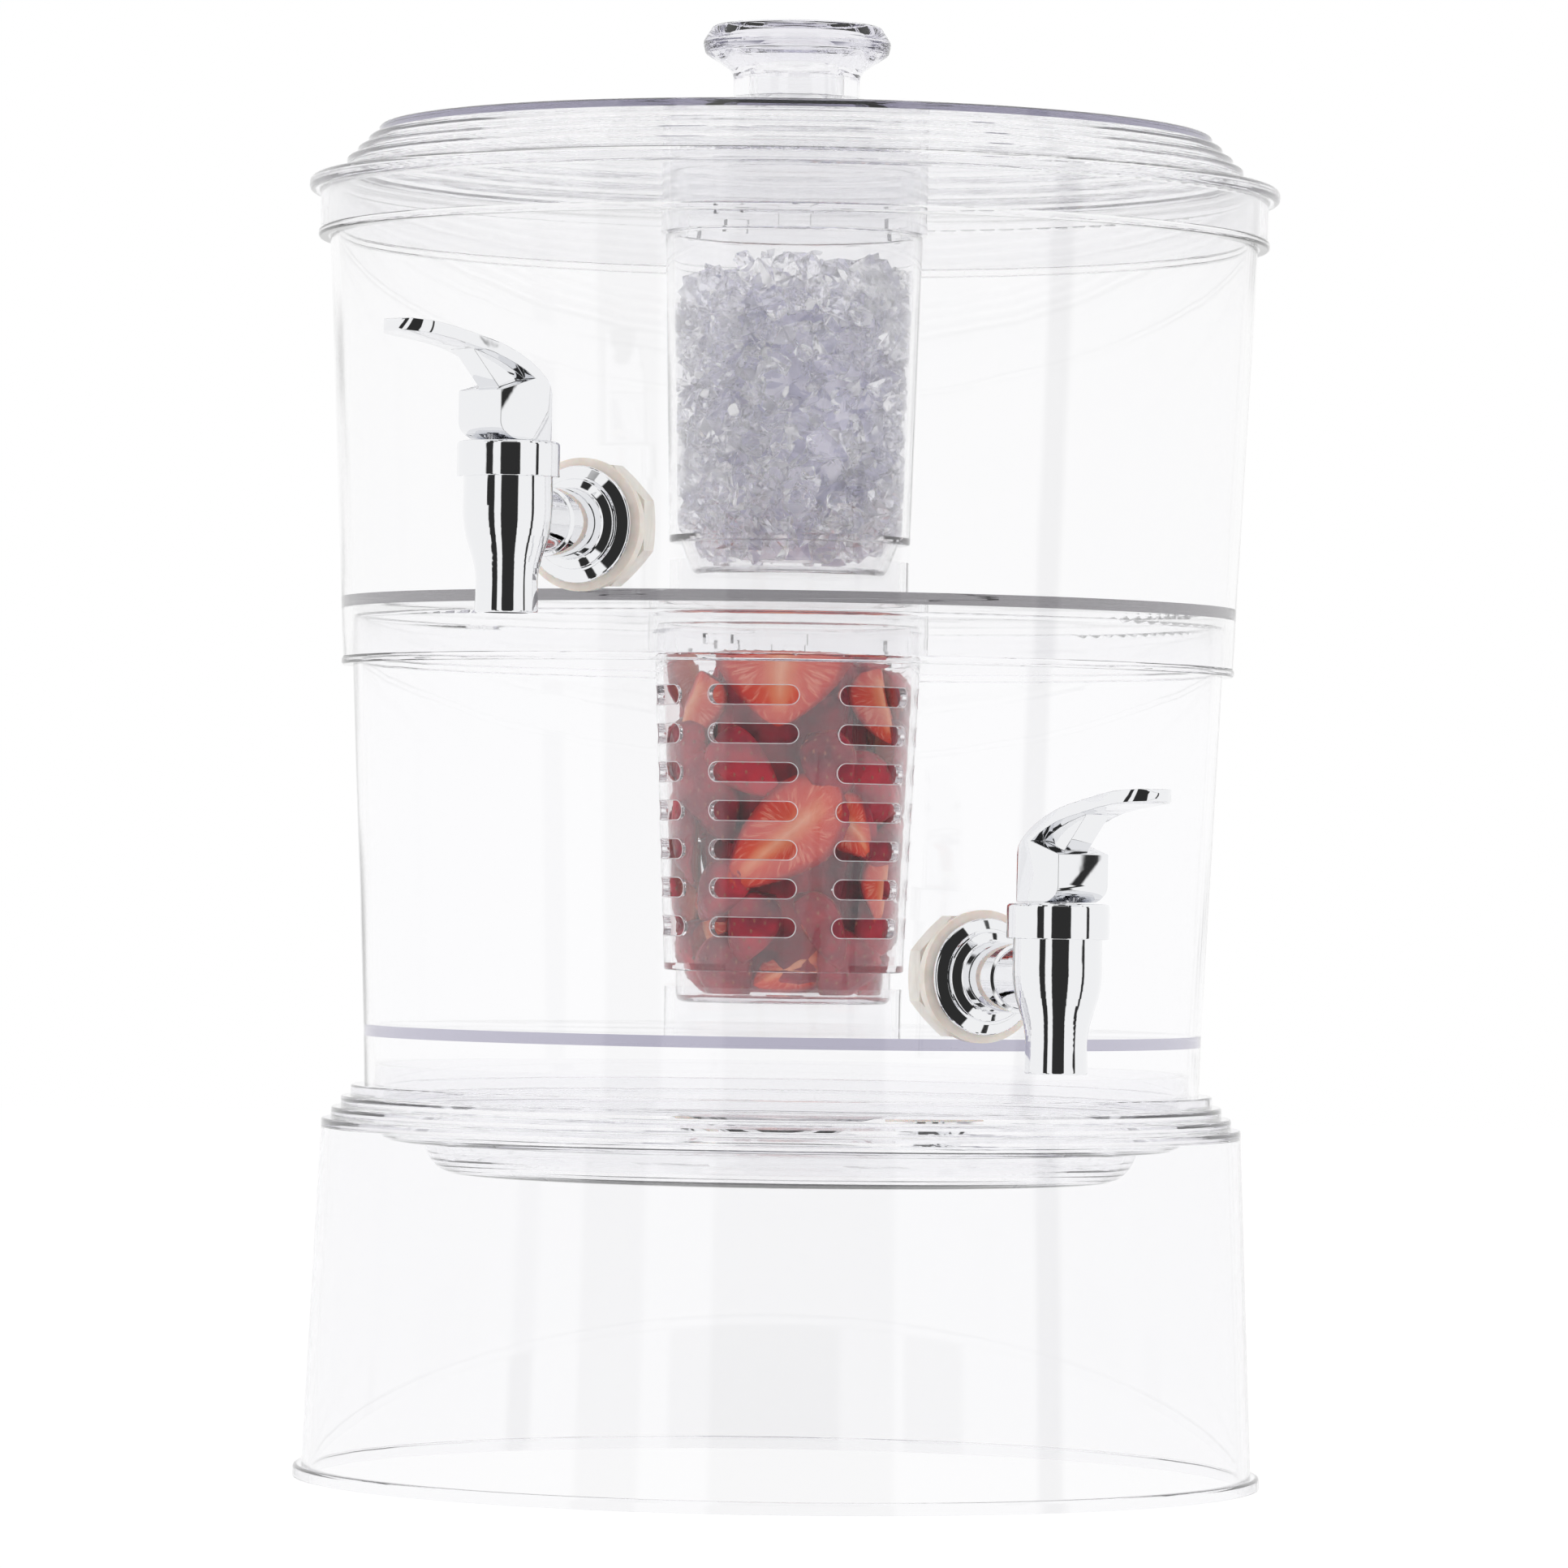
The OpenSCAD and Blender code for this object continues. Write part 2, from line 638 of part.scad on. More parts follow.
/* Twist-lock sockets and tube necks */
// Socket with an L-shaped slot for each lug, open at its lower edge
module socket(outer_r, z, h) {
    slot_z = z + lug_rise - lug_gap;
    slot_end = lug_angle / 2 + 1;
    difference() {
        ring(outer_r, outer_r - tube_wall, z, h);
        for (i = [0 : lugs - 1]) {
            start = i * 360 / lugs - slot_end;
            sector(outer_r - 2 * tube_wall, outer_r + nudge, slot_z, lug_h + 2 * lug_gap,
                   start, twist + 2 * slot_end + nudge);
            sector(outer_r - 2 * tube_wall, outer_r + nudge, z - nudge,
                   lug_rise + nudge + lug_h, start + twist, 2 * slot_end);
        }
    }
}

// Neck that turns inside a socket, with its lugs
module neck(neck_r, z, h) {
    revolve(rounded([[neck_r - tube_wall, z - nudge, 0], [neck_r, z - nudge, 0],
                     [neck_r, z + h, tube_wall / 3],
                     [neck_r - tube_wall, z + h, tube_wall / 3],
                     [neck_r - tube_wall, z - nudge, 0]]));
    for (i = [0 : lugs - 1])
        sector(neck_r - tube_wall / 2, neck_r + socket_gap + lug_reach,
               z + lug_rise, lug_h, i * 360 / lugs - lug_angle / 2, lug_angle);
}

// Tapered tube that is closed by a stepped foot
module tube(top_r, end_r, top_z, end_z, neck_r, foot_r, foot_taper) {
    path = [[0, end_z - foot_h, 0], [foot_r - foot_taper, end_z - foot_h, 2.5],
            [foot_r, end_z, 0], [end_r, end_z, 0.8], [top_r, top_z - lug_gap, 0.8],
            [neck_r - tube_wall / 2, top_z - lug_gap, 0]];
    revolve(wall_of(path, tube_wall));
}

module ice_core() {
    color(ICE_CLEAR) {
        tube(core_top_r, core_end_r, core_socket_z, core_end_z,
             core_neck_r, core_foot_r, core_foot_taper);
        neck(core_neck_r, core_socket_z, core_neck_h);
    }
}

// One slot through the infuser's wall, with round ends
module infuser_slot(z) {
    half = slot_angle / 2 - asin(slot_h / 2 / infuser_end_r);
    sector(infuser_end_r - 3 * tube_wall, infuser_top_r + nudge, z - slot_h / 2, slot_h,
           -half, 2 * half);
    for (side = [-1, 1])
        rotate([0, 0, side * half]) translate([infuser_end_r - 3 * tube_wall, 0, z])
            outwards() cylinder(d = slot_h, h = 3 * tube_wall + infuser_top_r
                                    - infuser_end_r + nudge, $fn = 24);
}

module infuser() {
    color(CLEAR)
        difference() {
            union() {
                tube(infuser_top_r, infuser_end_r, infuser_socket_z, infuser_end_z,
                     infuser_neck_r, infuser_foot_r, 0);
                neck(infuser_neck_r, infuser_socket_z, infuser_neck_h);
            }
            for (row = [0 : slot_rows - 1], column = [0 : slot_columns - 1])
                rotate([0, 0, slot_turn + column * 360 / slot_columns])
                    infuser_slot(infuser_socket_z - slot_top - row * slot_pitch);
        }
}

/* Ice and fruit */
// Solid heart of a filling, which stands on its tube's floor
module heart(top_r, end_r, top_z, end_z, foot_r, level, depth) {
    floor_z = end_z - foot_h + tube_wall;
    shelf_z = end_z + tube_wall + fill_gap;
    slope = (top_r - end_r) / (top_z - end_z);
    heart_r = end_r - tube_wall - fill_gap - depth;
    revolve([[0, floor_z], [foot_r - tube_wall - fill_gap, floor_z],
             [foot_r - tube_wall - fill_gap, shelf_z],
             [heart_r + (shelf_z - end_z) * slope, shelf_z],
             [heart_r + (level - end_z) * slope, level], [0, level]]);
}

// Rings of children inside a tube's tapered wall, which they come near by their reach,
// from the shelf above its foot up to a level. $k numbers them.
module rings(top_r, end_r, top_z, end_z, level, pitch, count, reach) {
    low = end_z + tube_wall + fill_gap + reach;
    rows = max(1, floor((level - low) / pitch));
    slope = (top_r - end_r) / (top_z - end_z);
    for (row = [0 : rows], i = [0 : count - 1]) {
        z = low + (level - low) * row / rows;
        inner_r = end_r - tube_wall - fill_gap + (z - reach - end_z) * slope;
        $k = row * count + i;
        rotate([0, 0, (i + row / 2) * 360 / count])
            translate([inner_r - reach, 0, z]) children();
    }
}

module ice_lump(k) {
    rotate(k * lump_turns) cube(lump_size * lump_form, center = true);
}

module crushed_ice() {
    reach = lump_size * norm(lump_form) / 2;
    level = core_socket_z - ice_drop - reach;
    color(ICE) {
        heart(core_top_r, core_end_r, core_socket_z, core_end_z,
              core_foot_r - core_foot_taper, level, lump_depth);
        rings(core_top_r, core_end_r, core_socket_z, core_end_z,
              level, lump_size, lumps_round, reach) ice_lump($k);
        for (i = [0 : lumps_round / 2 - 1])
            rotate([0, 0, i * 720 / lumps_round])
                translate([lump_size / 2, 0, level]) ice_lump(i);
    }
}

// Berry that lies along local +Y
module berry() {
    rotate([-90, 0, 0])
        rotate_extrude($fn = berry_sides)
            polygon([[0, -berry_r * 0.9], [berry_r * 0.75, -berry_r * 0.7],
                     [berry_r, 0], [berry_r * 0.8, berry_r * 0.62],
                     [berry_tip_r, berry_l - berry_tip_r / 2], [0, berry_l]]);
}

// Berry tilted out of the level by its number
module tilted_berry(k) {
    rotate([berry_tilt * sin(k * berry_turn), 0, 0]) berry();
}

module strawberries() {
    level = infuser_socket_z + fruit_rise - berry_r;
    color(BERRY) {
        heart(infuser_top_r, infuser_end_r, infuser_socket_z, infuser_end_z,
              infuser_foot_r, level, berry_depth);
        rings(infuser_top_r, infuser_end_r, infuser_socket_z, infuser_end_z,
              level, berry_r * 1.75, berries_round, berry_r) tilted_berry($k);
        for (i = [0 : berries_round / 2 - 1])
            rotate([0, 0, i * 720 / berries_round])
                translate([berry_r, 0, level]) tilted_berry(i);
    }
}

/* Lid and knob */
module lid() {
    path = concat(
        [[lid_skirt_r + lid_flange_out / 2, lid_flange_z + lid_flange_t - lid_roof_drop, 0]],
        stairs(lid_step_r, lid_step_z, lid_step_run, lid_step_rise),
        [[collar_r + crown_run, lid_crown_z + crown_rise, crown_round],
         [collar_r, knob_z, 2.2], [0, knob_z, 0]]);
    spigot_r = knob_bore_r - spigot_gap;
    color(CLEAR) {
        revolve(wall_of(path, lid_wall));
        ring(lid_skirt_r, lid_skirt_r - lid_wall, upper_lip_z, lid_skirt_h + lid_wall);
        revolve(rounded([[lid_skirt_r - lid_wall, lid_flange_z, 0],
                         [lid_skirt_r + lid_flange_out, lid_flange_z, 1.6],
                         [lid_skirt_r + lid_flange_out, lid_flange_z + lid_flange_t, 2],
                         [lid_skirt_r - lid_wall, lid_flange_z + lid_flange_t, 0]]));
        socket(core_socket_r, core_socket_z,
               lid_crown_z + crown_rise - lid_wall / 2 - core_socket_z);
        ring(spigot_r, spigot_r - tube_wall, knob_z - lid_wall / 2, spigot_h + lid_wall / 2);
    }
}

module lid_knob() {
    head_z = knob_z + knob_neck_h;
    top_z = knob_z + knob_h;
    bore_h = knob_h - knob_top_t;
    wide_z = knob_z + knob_wide_h;
    color(CLEAR)
        revolve(rounded([[0, knob_z + bore_h, 0], [knob_bore_r, knob_z + bore_h, 1.5],
                         [knob_bore_r, knob_z, 0], [knob_neck_r, knob_z, 0.6],
                         [knob_neck_r, head_z, 5],
                         [knob_head_r - 0.8, (head_z + wide_z) / 2 + 1.2, 1.6],
                         [knob_head_r, wide_z, 2.5],
                         [knob_head_r - 3.2, top_z, 1.8],
                         [dish_r + 3.4, top_z, 1],
                         [dish_r, top_z - dish_depth, 4], [0, top_z - dish_depth, 0]]));
}

/* Tap */
// Tank shape used to cut a gasket to the wall, in the tap's own place
module tank_cone(floor_r, floor_z, top_r, body_h, wall) {
    slope = (top_r - floor_r) / body_h;
    less = wall * sqrt(1 + slope * slope);
    reach = 3 * tap_rise;
    translate([0, 0, floor_z - reach])
        cylinder(r1 = floor_r - slope * reach - less,
                 r2 = floor_r + slope * reach - less, h = 2 * reach, $fn = 1440);
}

module tap_outer_gasket() {
    color(SILICONE) outwards()
        difference() {
            translate([0, 0, gasket_t - 3 * tank_wall])
                cylinder(r = gasket_r, h = 3 * tank_wall);
            translate([0, 0, -4 * tank_wall]) cylinder(r = shank_r + thread_gap, h = 8 * tank_wall);
        }
}

module tap_inner_gasket() {
    color(SILICONE) outwards()
        difference() {
            translate([0, 0, nut_face]) cylinder(r = inner_gasket_r, h = -nut_face + nudge);
            translate([0, 0, nut_face - nudge])
                cylinder(r = shank_r + thread_gap, h = 2 * nudge - nut_face + nudge);
        }
}

module tap_lock_nut() {
    color(NYLON) outwards()
        difference() {
            translate([0, 0, nut_face - nut_t]) rotate([0, 0, 180 / nut_sides])
                intersection() {
                    cylinder(r = nut_r, h = nut_t, $fn = nut_sides);
                    cylinder(r1 = nut_r - nut_bevel, r2 = nut_r + nut_t, h = nut_t);
                }
            translate([0, 0, nut_face - nut_t - nudge])
                cylinder(r = shank_r + thread_gap, h = nut_t + 2 * nudge);
        }
}

module tap_body() {
    flange_z = gasket_t + flange_h;
    step_x = spout_reach / 2 + 1.8;
    color(CHROME)
        difference() {
            union() {
                outwards() revolve(rounded([
                    [0, shank_tip, 0], [shank_r, shank_tip, 0.6], [shank_r, gasket_t, 0],
                    [flange_r, gasket_t, 0.5], [flange_r, gasket_t + flange_edge_h, 1.4],
                    [arm_collar_r + 0.7, flange_z, 0.4], [arm_collar_r, flange_z, 0],
                    [arm_collar_r - 0.2, flange_z + arm_collar_h, 0.5],
                    [arm_r, flange_z + arm_collar_h + 1.4, 1.2],
                    [arm_r, step_x, 0.5], [arm_r - arm_step, step_x + arm_step, 0.3],
                    [arm_r - arm_step, spout_reach, 0], [0, spout_reach, 0]]));
                translate([spout_reach, 0, 0]) spout_shell();
            }
            outwards() translate([0, 0, shank_tip - nudge])
                cylinder(r = waterway_r, h = spout_reach - shank_tip);
            translate([spout_reach, 0, 0]) spout_bore();
        }
}

module spout_shell() {
    revolve(rounded([[0, -spout_drop, 0], [outlet_r, -spout_drop, 0.6],
                     [waist_r, -waist_drop, waist_round],
                     [bulge_r, -bulge_drop, bulge_round], [bulge_r - 0.2, bonnet_z, 0],
                     [neck_r, bonnet_z, 0], [neck_r, bonnet_z + neck_h, 0.5],
                     [0, bonnet_z + neck_h, 0]]));
}

module spout_bore() {
    revolve([[0, -spout_drop - nudge], [outlet_bore_r, -spout_drop - nudge],
             [outlet_bore_r, -seat_drop], [chamber_r, -seat_drop + seat_h],
             [chamber_r, bonnet_z + neck_h + nudge], [0, bonnet_z + neck_h + nudge]]);
}

module tap_bonnet() {
    roof_z = bonnet_z + neck_h + thread_gap;
    color(CHROME) translate([spout_reach, 0, 0])
        revolve(rounded([[stem_r + stem_gap, roof_z, 0], [neck_r + thread_gap, roof_z, 0],
                         [neck_r + thread_gap, bonnet_z, 0], [bonnet_r, bonnet_z, 0.4],
                         [bonnet_r, bonnet_top, 1.2], [stem_r + stem_gap, bonnet_top, 0],
                         [stem_r + stem_gap, roof_z, 0]]));
}

// Height of the cup's cone at a radius
function cup_z(r) = -seat_drop + seat_gap + (r - outlet_bore_r) * seat_slope;

module tap_seat_cup() {
    side_z = cup_z(cup_r) + cup_side_h;
    socket_r = stem_r + stem_gap;
    socket_z = cup_z(cup_nose_r) + cup_wall;
    outer_r = socket_r + cup_wall;
    color(SILICONE) translate([spout_reach, 0, 0])
        revolve([[0, cup_z(cup_nose_r)], [cup_nose_r, cup_z(cup_nose_r)],
                 [cup_r, cup_z(cup_r)], [cup_r, side_z],
                 [outer_r, side_z + (cup_r - outer_r) / 2], [outer_r, cup_top_z],
                 [socket_r, cup_top_z], [socket_r, socket_z], [0, socket_z]]);
}

module tap_stem() {
    foot_z = cup_z(cup_nose_r) + cup_wall + stem_gap;
    color(STEEL) translate([spout_reach, 0, 0])
        difference() {
            union() {
                translate([0, 0, foot_z]) cylinder(r = stem_r, h = pivot_z - foot_z);
                translate([0, 0, pivot_z]) rotate([90, 0, 0])
                    cylinder(r = stem_r + eye_wall, h = eye_w, center = true);
            }
            translate([0, 0, pivot_z]) rotate([90, 0, 0])
                cylinder(r = pin_r + pin_press_gap, h = 4 * stem_r, center = true);
        }
}

module tap_pivot_pin() {
    color(STEEL) translate([spout_reach, 0, pivot_z]) rotate([90, 0, 0])
        cylinder(r = pin_r, h = pin_len, center = true);
}

/* Handle, drawn about its pivot with +X along the paddle */
// Cam that keeps its foot on the bonnet and lifts the pivot at a steady rate
function cam_point(a) =
    let (h = foot_drop + cam_rate * a * PI / 180)
    [h * sin(a) + cam_rate * cos(a), -h * cos(a) + cam_rate * sin(a)];

// Round nose that carries the cam up into the head's front face
nose_r = 4;
crest_steps = 12;
rib_end = 9;
nose_at = cam_point(press_angle) - nose_r * [sin(press_angle), -cos(press_angle)];
head_front = nose_at[0] + nose_r;

// Upper curve of the handle, from the foot of its back (0) to the paddle's tip (1)
function crest(t) =
    let (s = 1 - t, tip = [paddle_reach - paddle_t / 2, paddle_h])
    s * s * s * [-head_back, band_foot] + 3 * s * s * t * [-head_back, band_foot + back_rise]
    + 3 * s * t * t * (tip - paddle_pull * [cos(paddle_tilt), sin(paddle_tilt)])
    + t * t * t * tip;

// Lower face of the band that follows the crest, which thickens towards the paddle
function under_crest(t) =
    let (d = unit(crest(min(t + 0.01, 1)) - crest(max(t - 0.01, 0))))
    crest(t) + (band_t + (paddle_t - band_t) * t) * [d[1], -d[0]];

// Side view of the handle's head
function head_outline() = concat(
    [[-head_back, -foot_drop + 1], [-head_back + 1, -foot_drop]],
    [for (i = [0 : 8]) cam_point(press_angle * i / 8)],
    [for (i = [1 : 6]) let (a = press_angle + (90 - press_angle) * i / 6)
        nose_at + nose_r * [sin(a), -cos(a)]],
    [[head_front, head_front_h], under_crest(4 / crest_steps)],
    [for (i = [3 : -1 : 0]) crest(i / crest_steps)]);

// Side view of the curved band that runs over the head and out to the paddle
function band_outline() = concat(
    [for (i = [0 : crest_steps]) crest(i / crest_steps)],
    [for (i = [1 : 5]) let (a = 90 - 30 * i)
        [paddle_reach - paddle_t / 2, paddle_h - paddle_t / 2]
        + paddle_t / 2 * [cos(a), sin(a)]],
    [for (i = [crest_steps - 1 : -1 : 0]) under_crest(i / crest_steps)]);

// Side view of the neck that joins head and paddle
function rib_outline() = concat(
    [[0, head_front_h / 2], [head_front - rib_inset, head_front_h]],
    [for (i = [rib_end : -1 : 3]) crest(i / crest_steps) - [0, band_t / 2]]);

module side_view(width) {
    rotate([90, 0, 0]) linear_extrude(height = width, center = true) children();
}

// Plan of the handle: square at the head, waisted, and round at the paddle's tip
module handle_plan() {
    half = head_w / 2;
    waist = paddle_waist / 2;
    waist_x = paddle_reach / 2 - 1;
    translate([0, 0, -2 * pivot_h])
        linear_extrude(height = 2 * pivot_h + 2 * paddle_h)
            polygon(concat(
                [[-head_back, -half + 2.2], [-head_back + 0.7, -half + 0.7],
                 [-head_back + 2.2, -half], [head_front, -half],
                 [waist_x - 3, -waist], [waist_x + 3, -waist]],
                [for (i = [-4 : 4]) let (a = 90 * i / 4)
                    [paddle_reach - half + half * cos(a), half * sin(a)]],
                [[waist_x + 3, waist], [waist_x - 3, waist], [head_front, half],
                 [-head_back + 2.2, half], [-head_back + 0.7, half - 0.7],
                 [-head_back, half - 2.2]]));
}

// Room in the handle for the stem as the handle turns, and for the pin to snap in
module handle_slot() {
    side = stem_r + slot_gap;
    far = 3 * pivot_h;
    out = [sin(press_angle), -cos(press_angle)];
    up = [cos(press_angle), sin(press_angle)];
    side_view(2 * side)
        polygon([[-side, 0], [-side, -far], far * out - [0, far / 2], far * out + side * up,
                 side * up]);
    rotate([90, 0, 0]) cylinder(r = stem_r + eye_wall + slot_gap, h = 2 * side, center = true);
    room = pin_len + 2 * pin_end_gap;
    rotate([90, 0, 0]) cylinder(r = pin_r + pin_gap, h = room, center = true);
    translate([0, 0, -far / 2]) cube([2 * pin_r - pin_snap, room, far], center = true);
}

module tap_handle(swing) {
    color(CHROME) translate([spout_reach, 0, pivot_z]) rotate([0, 0, swing])
        difference() {
            intersection() {
                union() {
                    side_view(head_w) {
                        polygon(head_outline());
                        polygon(band_outline());
                    }
                    side_view(rib_w) polygon(rib_outline());
                }
                handle_plan();
            }
            handle_slot();
        }
}

/* The two taps in their places */
module upper_place() {
    on_wall(upper_tap_dir, upper_wall_r(), upper_tap_z) children();
}

module lower_place() {
    on_wall(lower_tap_dir, lower_wall_r(), lower_tap_z) children();
}

module upper_cone(wall) {
    tank_cone(upper_floor_r, upper_floor_z, upper_top_r, upper_body_h, wall);
}

module lower_cone(wall) {
    tank_cone(lower_floor_r, lower_floor_z, lower_top_r, lower_body_h, wall);
}

module upper_tap_body() { upper_place() tap_body(); }
module upper_tap_lock_nut() { upper_place() tap_lock_nut(); }
module upper_tap_bonnet() { upper_place() tap_bonnet(); }
module upper_tap_seat_cup() { upper_place() tap_seat_cup(); }
module upper_tap_stem() { upper_place() turned(-upper_handle_swing) tap_stem(); }
module upper_tap_pivot_pin() {
    upper_place() turned(-upper_handle_swing) tap_pivot_pin();
}
module upper_tap_handle() { upper_place() tap_handle(-upper_handle_swing); }
module upper_tap_outer_gasket() {
    color(SILICONE) difference() { upper_place() tap_outer_gasket(); upper_cone(-gasket_gap); }
}
module upper_tap_inner_gasket() {
    color(SILICONE)
        intersection() { upper_place() tap_inner_gasket(); upper_cone(tank_wall + gasket_gap); }
}

module lower_tap_body() { lower_place() tap_body(); }
module lower_tap_lock_nut() { lower_place() tap_lock_nut(); }
module lower_tap_bonnet() { lower_place() tap_bonnet(); }
module lower_tap_seat_cup() { lower_place() tap_seat_cup(); }
module lower_tap_stem() { lower_place() turned(lower_handle_swing) tap_stem(); }
module lower_tap_pivot_pin() {
    lower_place() turned(lower_handle_swing) tap_pivot_pin();
}
module lower_tap_handle() { lower_place() tap_handle(lower_handle_swing); }
module lower_tap_outer_gasket() {
    color(SILICONE) difference() { lower_place() tap_outer_gasket(); lower_cone(-gasket_gap); }
}
module lower_tap_inner_gasket() {
    color(SILICONE)
        intersection() { lower_place() tap_inner_gasket(); lower_cone(tank_wall + gasket_gap); }
}

// Turns children about the spout's axis
module turned(swing) {
    translate([spout_reach, 0, 0]) rotate([0, 0, swing]) translate([-spout_reach, 0, 0])
        children();
}

base();
lower_tank();
upper_tank();
lid();
lid_knob();
ice_core();
infuser();
crushed_ice();
strawberries();
upper_tap_body();
upper_tap_outer_gasket();
upper_tap_inner_gasket();
upper_tap_lock_nut();
upper_tap_bonnet();
upper_tap_seat_cup();
upper_tap_stem();
upper_tap_pivot_pin();
upper_tap_handle();
lower_tap_body();
lower_tap_outer_gasket();
lower_tap_inner_gasket();
lower_tap_lock_nut();
lower_tap_bonnet();
lower_tap_seat_cup();
lower_tap_stem();
lower_tap_pivot_pin();
lower_tap_handle();
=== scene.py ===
# %% [markdown]
# # A stackable drink dispenser in clear plastic
# Two clear tanks stand on a pedestal, each with a plated lever tap. A tube of ice hangs in the
# upper tank and a slotted tube of strawberries in the lower one. This lesson dresses the CAD
# model of that stack: it gives each moulded part a clear plastic with a wall's real thickness,
# plates the taps, and fills the two tubes.
#
# The CAD model comes in first. Its parts keep their places, and everything that is made here is
# measured in metres in the same frame: +Z up, the tank axis on X = Y = 0, the front towards -Y.
# Small sizes are written in millimetres and multiplied by mm.

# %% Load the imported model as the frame
import math

import bmesh
import bpy
import numpy as np
from mathutils import Matrix, Vector, noise


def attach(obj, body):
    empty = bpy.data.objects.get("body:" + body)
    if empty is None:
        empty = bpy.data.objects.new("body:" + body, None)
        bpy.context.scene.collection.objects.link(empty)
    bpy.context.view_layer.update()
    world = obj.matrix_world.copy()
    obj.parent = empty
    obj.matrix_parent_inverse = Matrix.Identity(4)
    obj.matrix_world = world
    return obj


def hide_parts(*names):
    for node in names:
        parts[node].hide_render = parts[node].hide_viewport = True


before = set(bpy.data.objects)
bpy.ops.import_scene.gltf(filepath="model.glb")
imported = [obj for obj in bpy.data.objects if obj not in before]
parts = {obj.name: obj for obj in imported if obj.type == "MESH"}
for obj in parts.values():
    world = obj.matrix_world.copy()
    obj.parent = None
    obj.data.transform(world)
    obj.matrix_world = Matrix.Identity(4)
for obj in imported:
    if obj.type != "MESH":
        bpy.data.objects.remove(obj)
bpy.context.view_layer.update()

scene = bpy.context.scene
mm = 0.001

# %% [markdown]
# ## Camera
# The stack was photographed with a long lens from about 2.8 m, a little below the middle of its
# height, so its rims are shallow ellipses. A long lens keeps the walls nearly parallel. The
# picture leans by under a degree, which is a turn of the camera about its own line of sight.
#
# A ray that looks through this stack passes two faces of every wall, so it needs many more
# bounces than Blender gives it at first. With too few, the clear parts turn black.

# %% Camera at the photograph's place
camera_distance = 2785 * mm
camera_height = 196 * mm
camera_left = 0.65 * mm
picture_side = 1932
focal_pixels = 10720
horizon_row = 1068
roll_degrees = 0.871
wall_bounces = 48
mirror_bounces = 16

lens = bpy.data.cameras.new("long_lens")
lens.sensor_width = 36
lens.lens = focal_pixels / picture_side * lens.sensor_width
lens.clip_end = 50
camera = bpy.data.objects.new("camera", lens)
scene.collection.objects.link(camera)
tilt = math.atan((horizon_row - picture_side / 2) / focal_pixels)
upright = Matrix.Rotation(math.radians(90) + tilt, 4, "X")
aim = upright @ Matrix.Rotation(math.radians(roll_degrees), 4, "Z")
camera.matrix_world = Matrix.Translation((-camera_left, -camera_distance, camera_height)) @ aim
scene.camera = camera
scene.view_settings.view_transform = "Standard"
scene.cycles.max_bounces = wall_bounces
scene.cycles.transmission_bounces = wall_bounces
scene.cycles.glossy_bounces = mirror_bounces
scene.cycles.blur_glossy = 0.0
print("lens", round(lens.lens, 1), "mm, tilt", round(math.degrees(tilt), 2), "degrees")

# %% [markdown]
# ## Node helpers
# Every finish below is a small node tree, and a few helpers keep the recipes short. The first
# adds a node, sets its inputs and links what is passed to it. The others add a sum, start a
# material with its Principled shader, read a fact that the mesh carries, scale the position on
# the object, and colour a number. A value that is the same all over a surface is set on the
# shader's own socket.

# %% Helpers for node trees
def node(tree, kind, label=None, **inputs):
    made = tree.nodes.new(kind)
    if label:
        made.label = label
    for key, value in inputs.items():
        name = key.replace("_", " ")
        socket = next((s for s in made.inputs if s.name.lower() == name.lower()), None)
        if socket is None:
            raise KeyError(f"{kind} has no input named {name}")
        if isinstance(value, bpy.types.NodeSocket):
            tree.links.new(value, socket)
        else:
            socket.default_value = value
    return made


def math_node(tree, operation, a, b=None, c=None):
    made = tree.nodes.new("ShaderNodeMath")
    made.operation = operation
    for socket, value in zip(made.inputs, (a, b, c)):
        if isinstance(value, bpy.types.NodeSocket):
            tree.links.new(value, socket)
        elif value is not None:
            socket.default_value = value
    return made.outputs[0]


def finish(name, colour, **inputs):
    made = bpy.data.materials.new(name)
    made.use_nodes = True
    made.diffuse_color = (*colour, 1)
    shader = made.node_tree.nodes["Principled BSDF"]
    shader.inputs["Base Color"].default_value = (*colour, 1)
    for key, value in inputs.items():
        shader.inputs[key.replace("_", " ")].default_value = value
    return made, made.node_tree, shader


def fact(tree, name):
    made = tree.nodes.new("ShaderNodeAttribute")
    made.attribute_name = name
    return made.outputs["Fac"]


def scaled_position(tree, scale):
    place = tree.nodes.new("ShaderNodeTexCoord").outputs["Object"]
    mapping = node(tree, "ShaderNodeMapping", Vector=place, Scale=scale)
    return mapping.outputs["Vector"]


def ramp(tree, factor, *stops):
    made = tree.nodes.new("ShaderNodeValToRGB")
    tree.links.new(factor, made.inputs["Fac"])
    elements = made.color_ramp.elements
    while len(elements) < len(stops):
        elements.new(0.5)
    for element, (position, colour) in zip(elements, stops):
        element.position = position
        element.color = (*colour, 1)
    return made.outputs["Color"]


# %% [markdown]
# ## Studio
# The photograph was taken against pure white. Plain white would also fill every reflection, and
# then chrome looks like grey paint: what makes it read as chrome is a dark stripe between bright
# panels. The world is therefore a studio with gaps between its light boxes: one to the left of
# the camera, a wide one behind it and a narrow one on the right. A bearing is counted from the
# camera's side, and a height from the horizon.

# %% Where the studio is dark
world = bpy.data.worlds.new("studio")
scene.world = world
world.use_nodes = True
sky = world.node_tree
sky.nodes.clear()


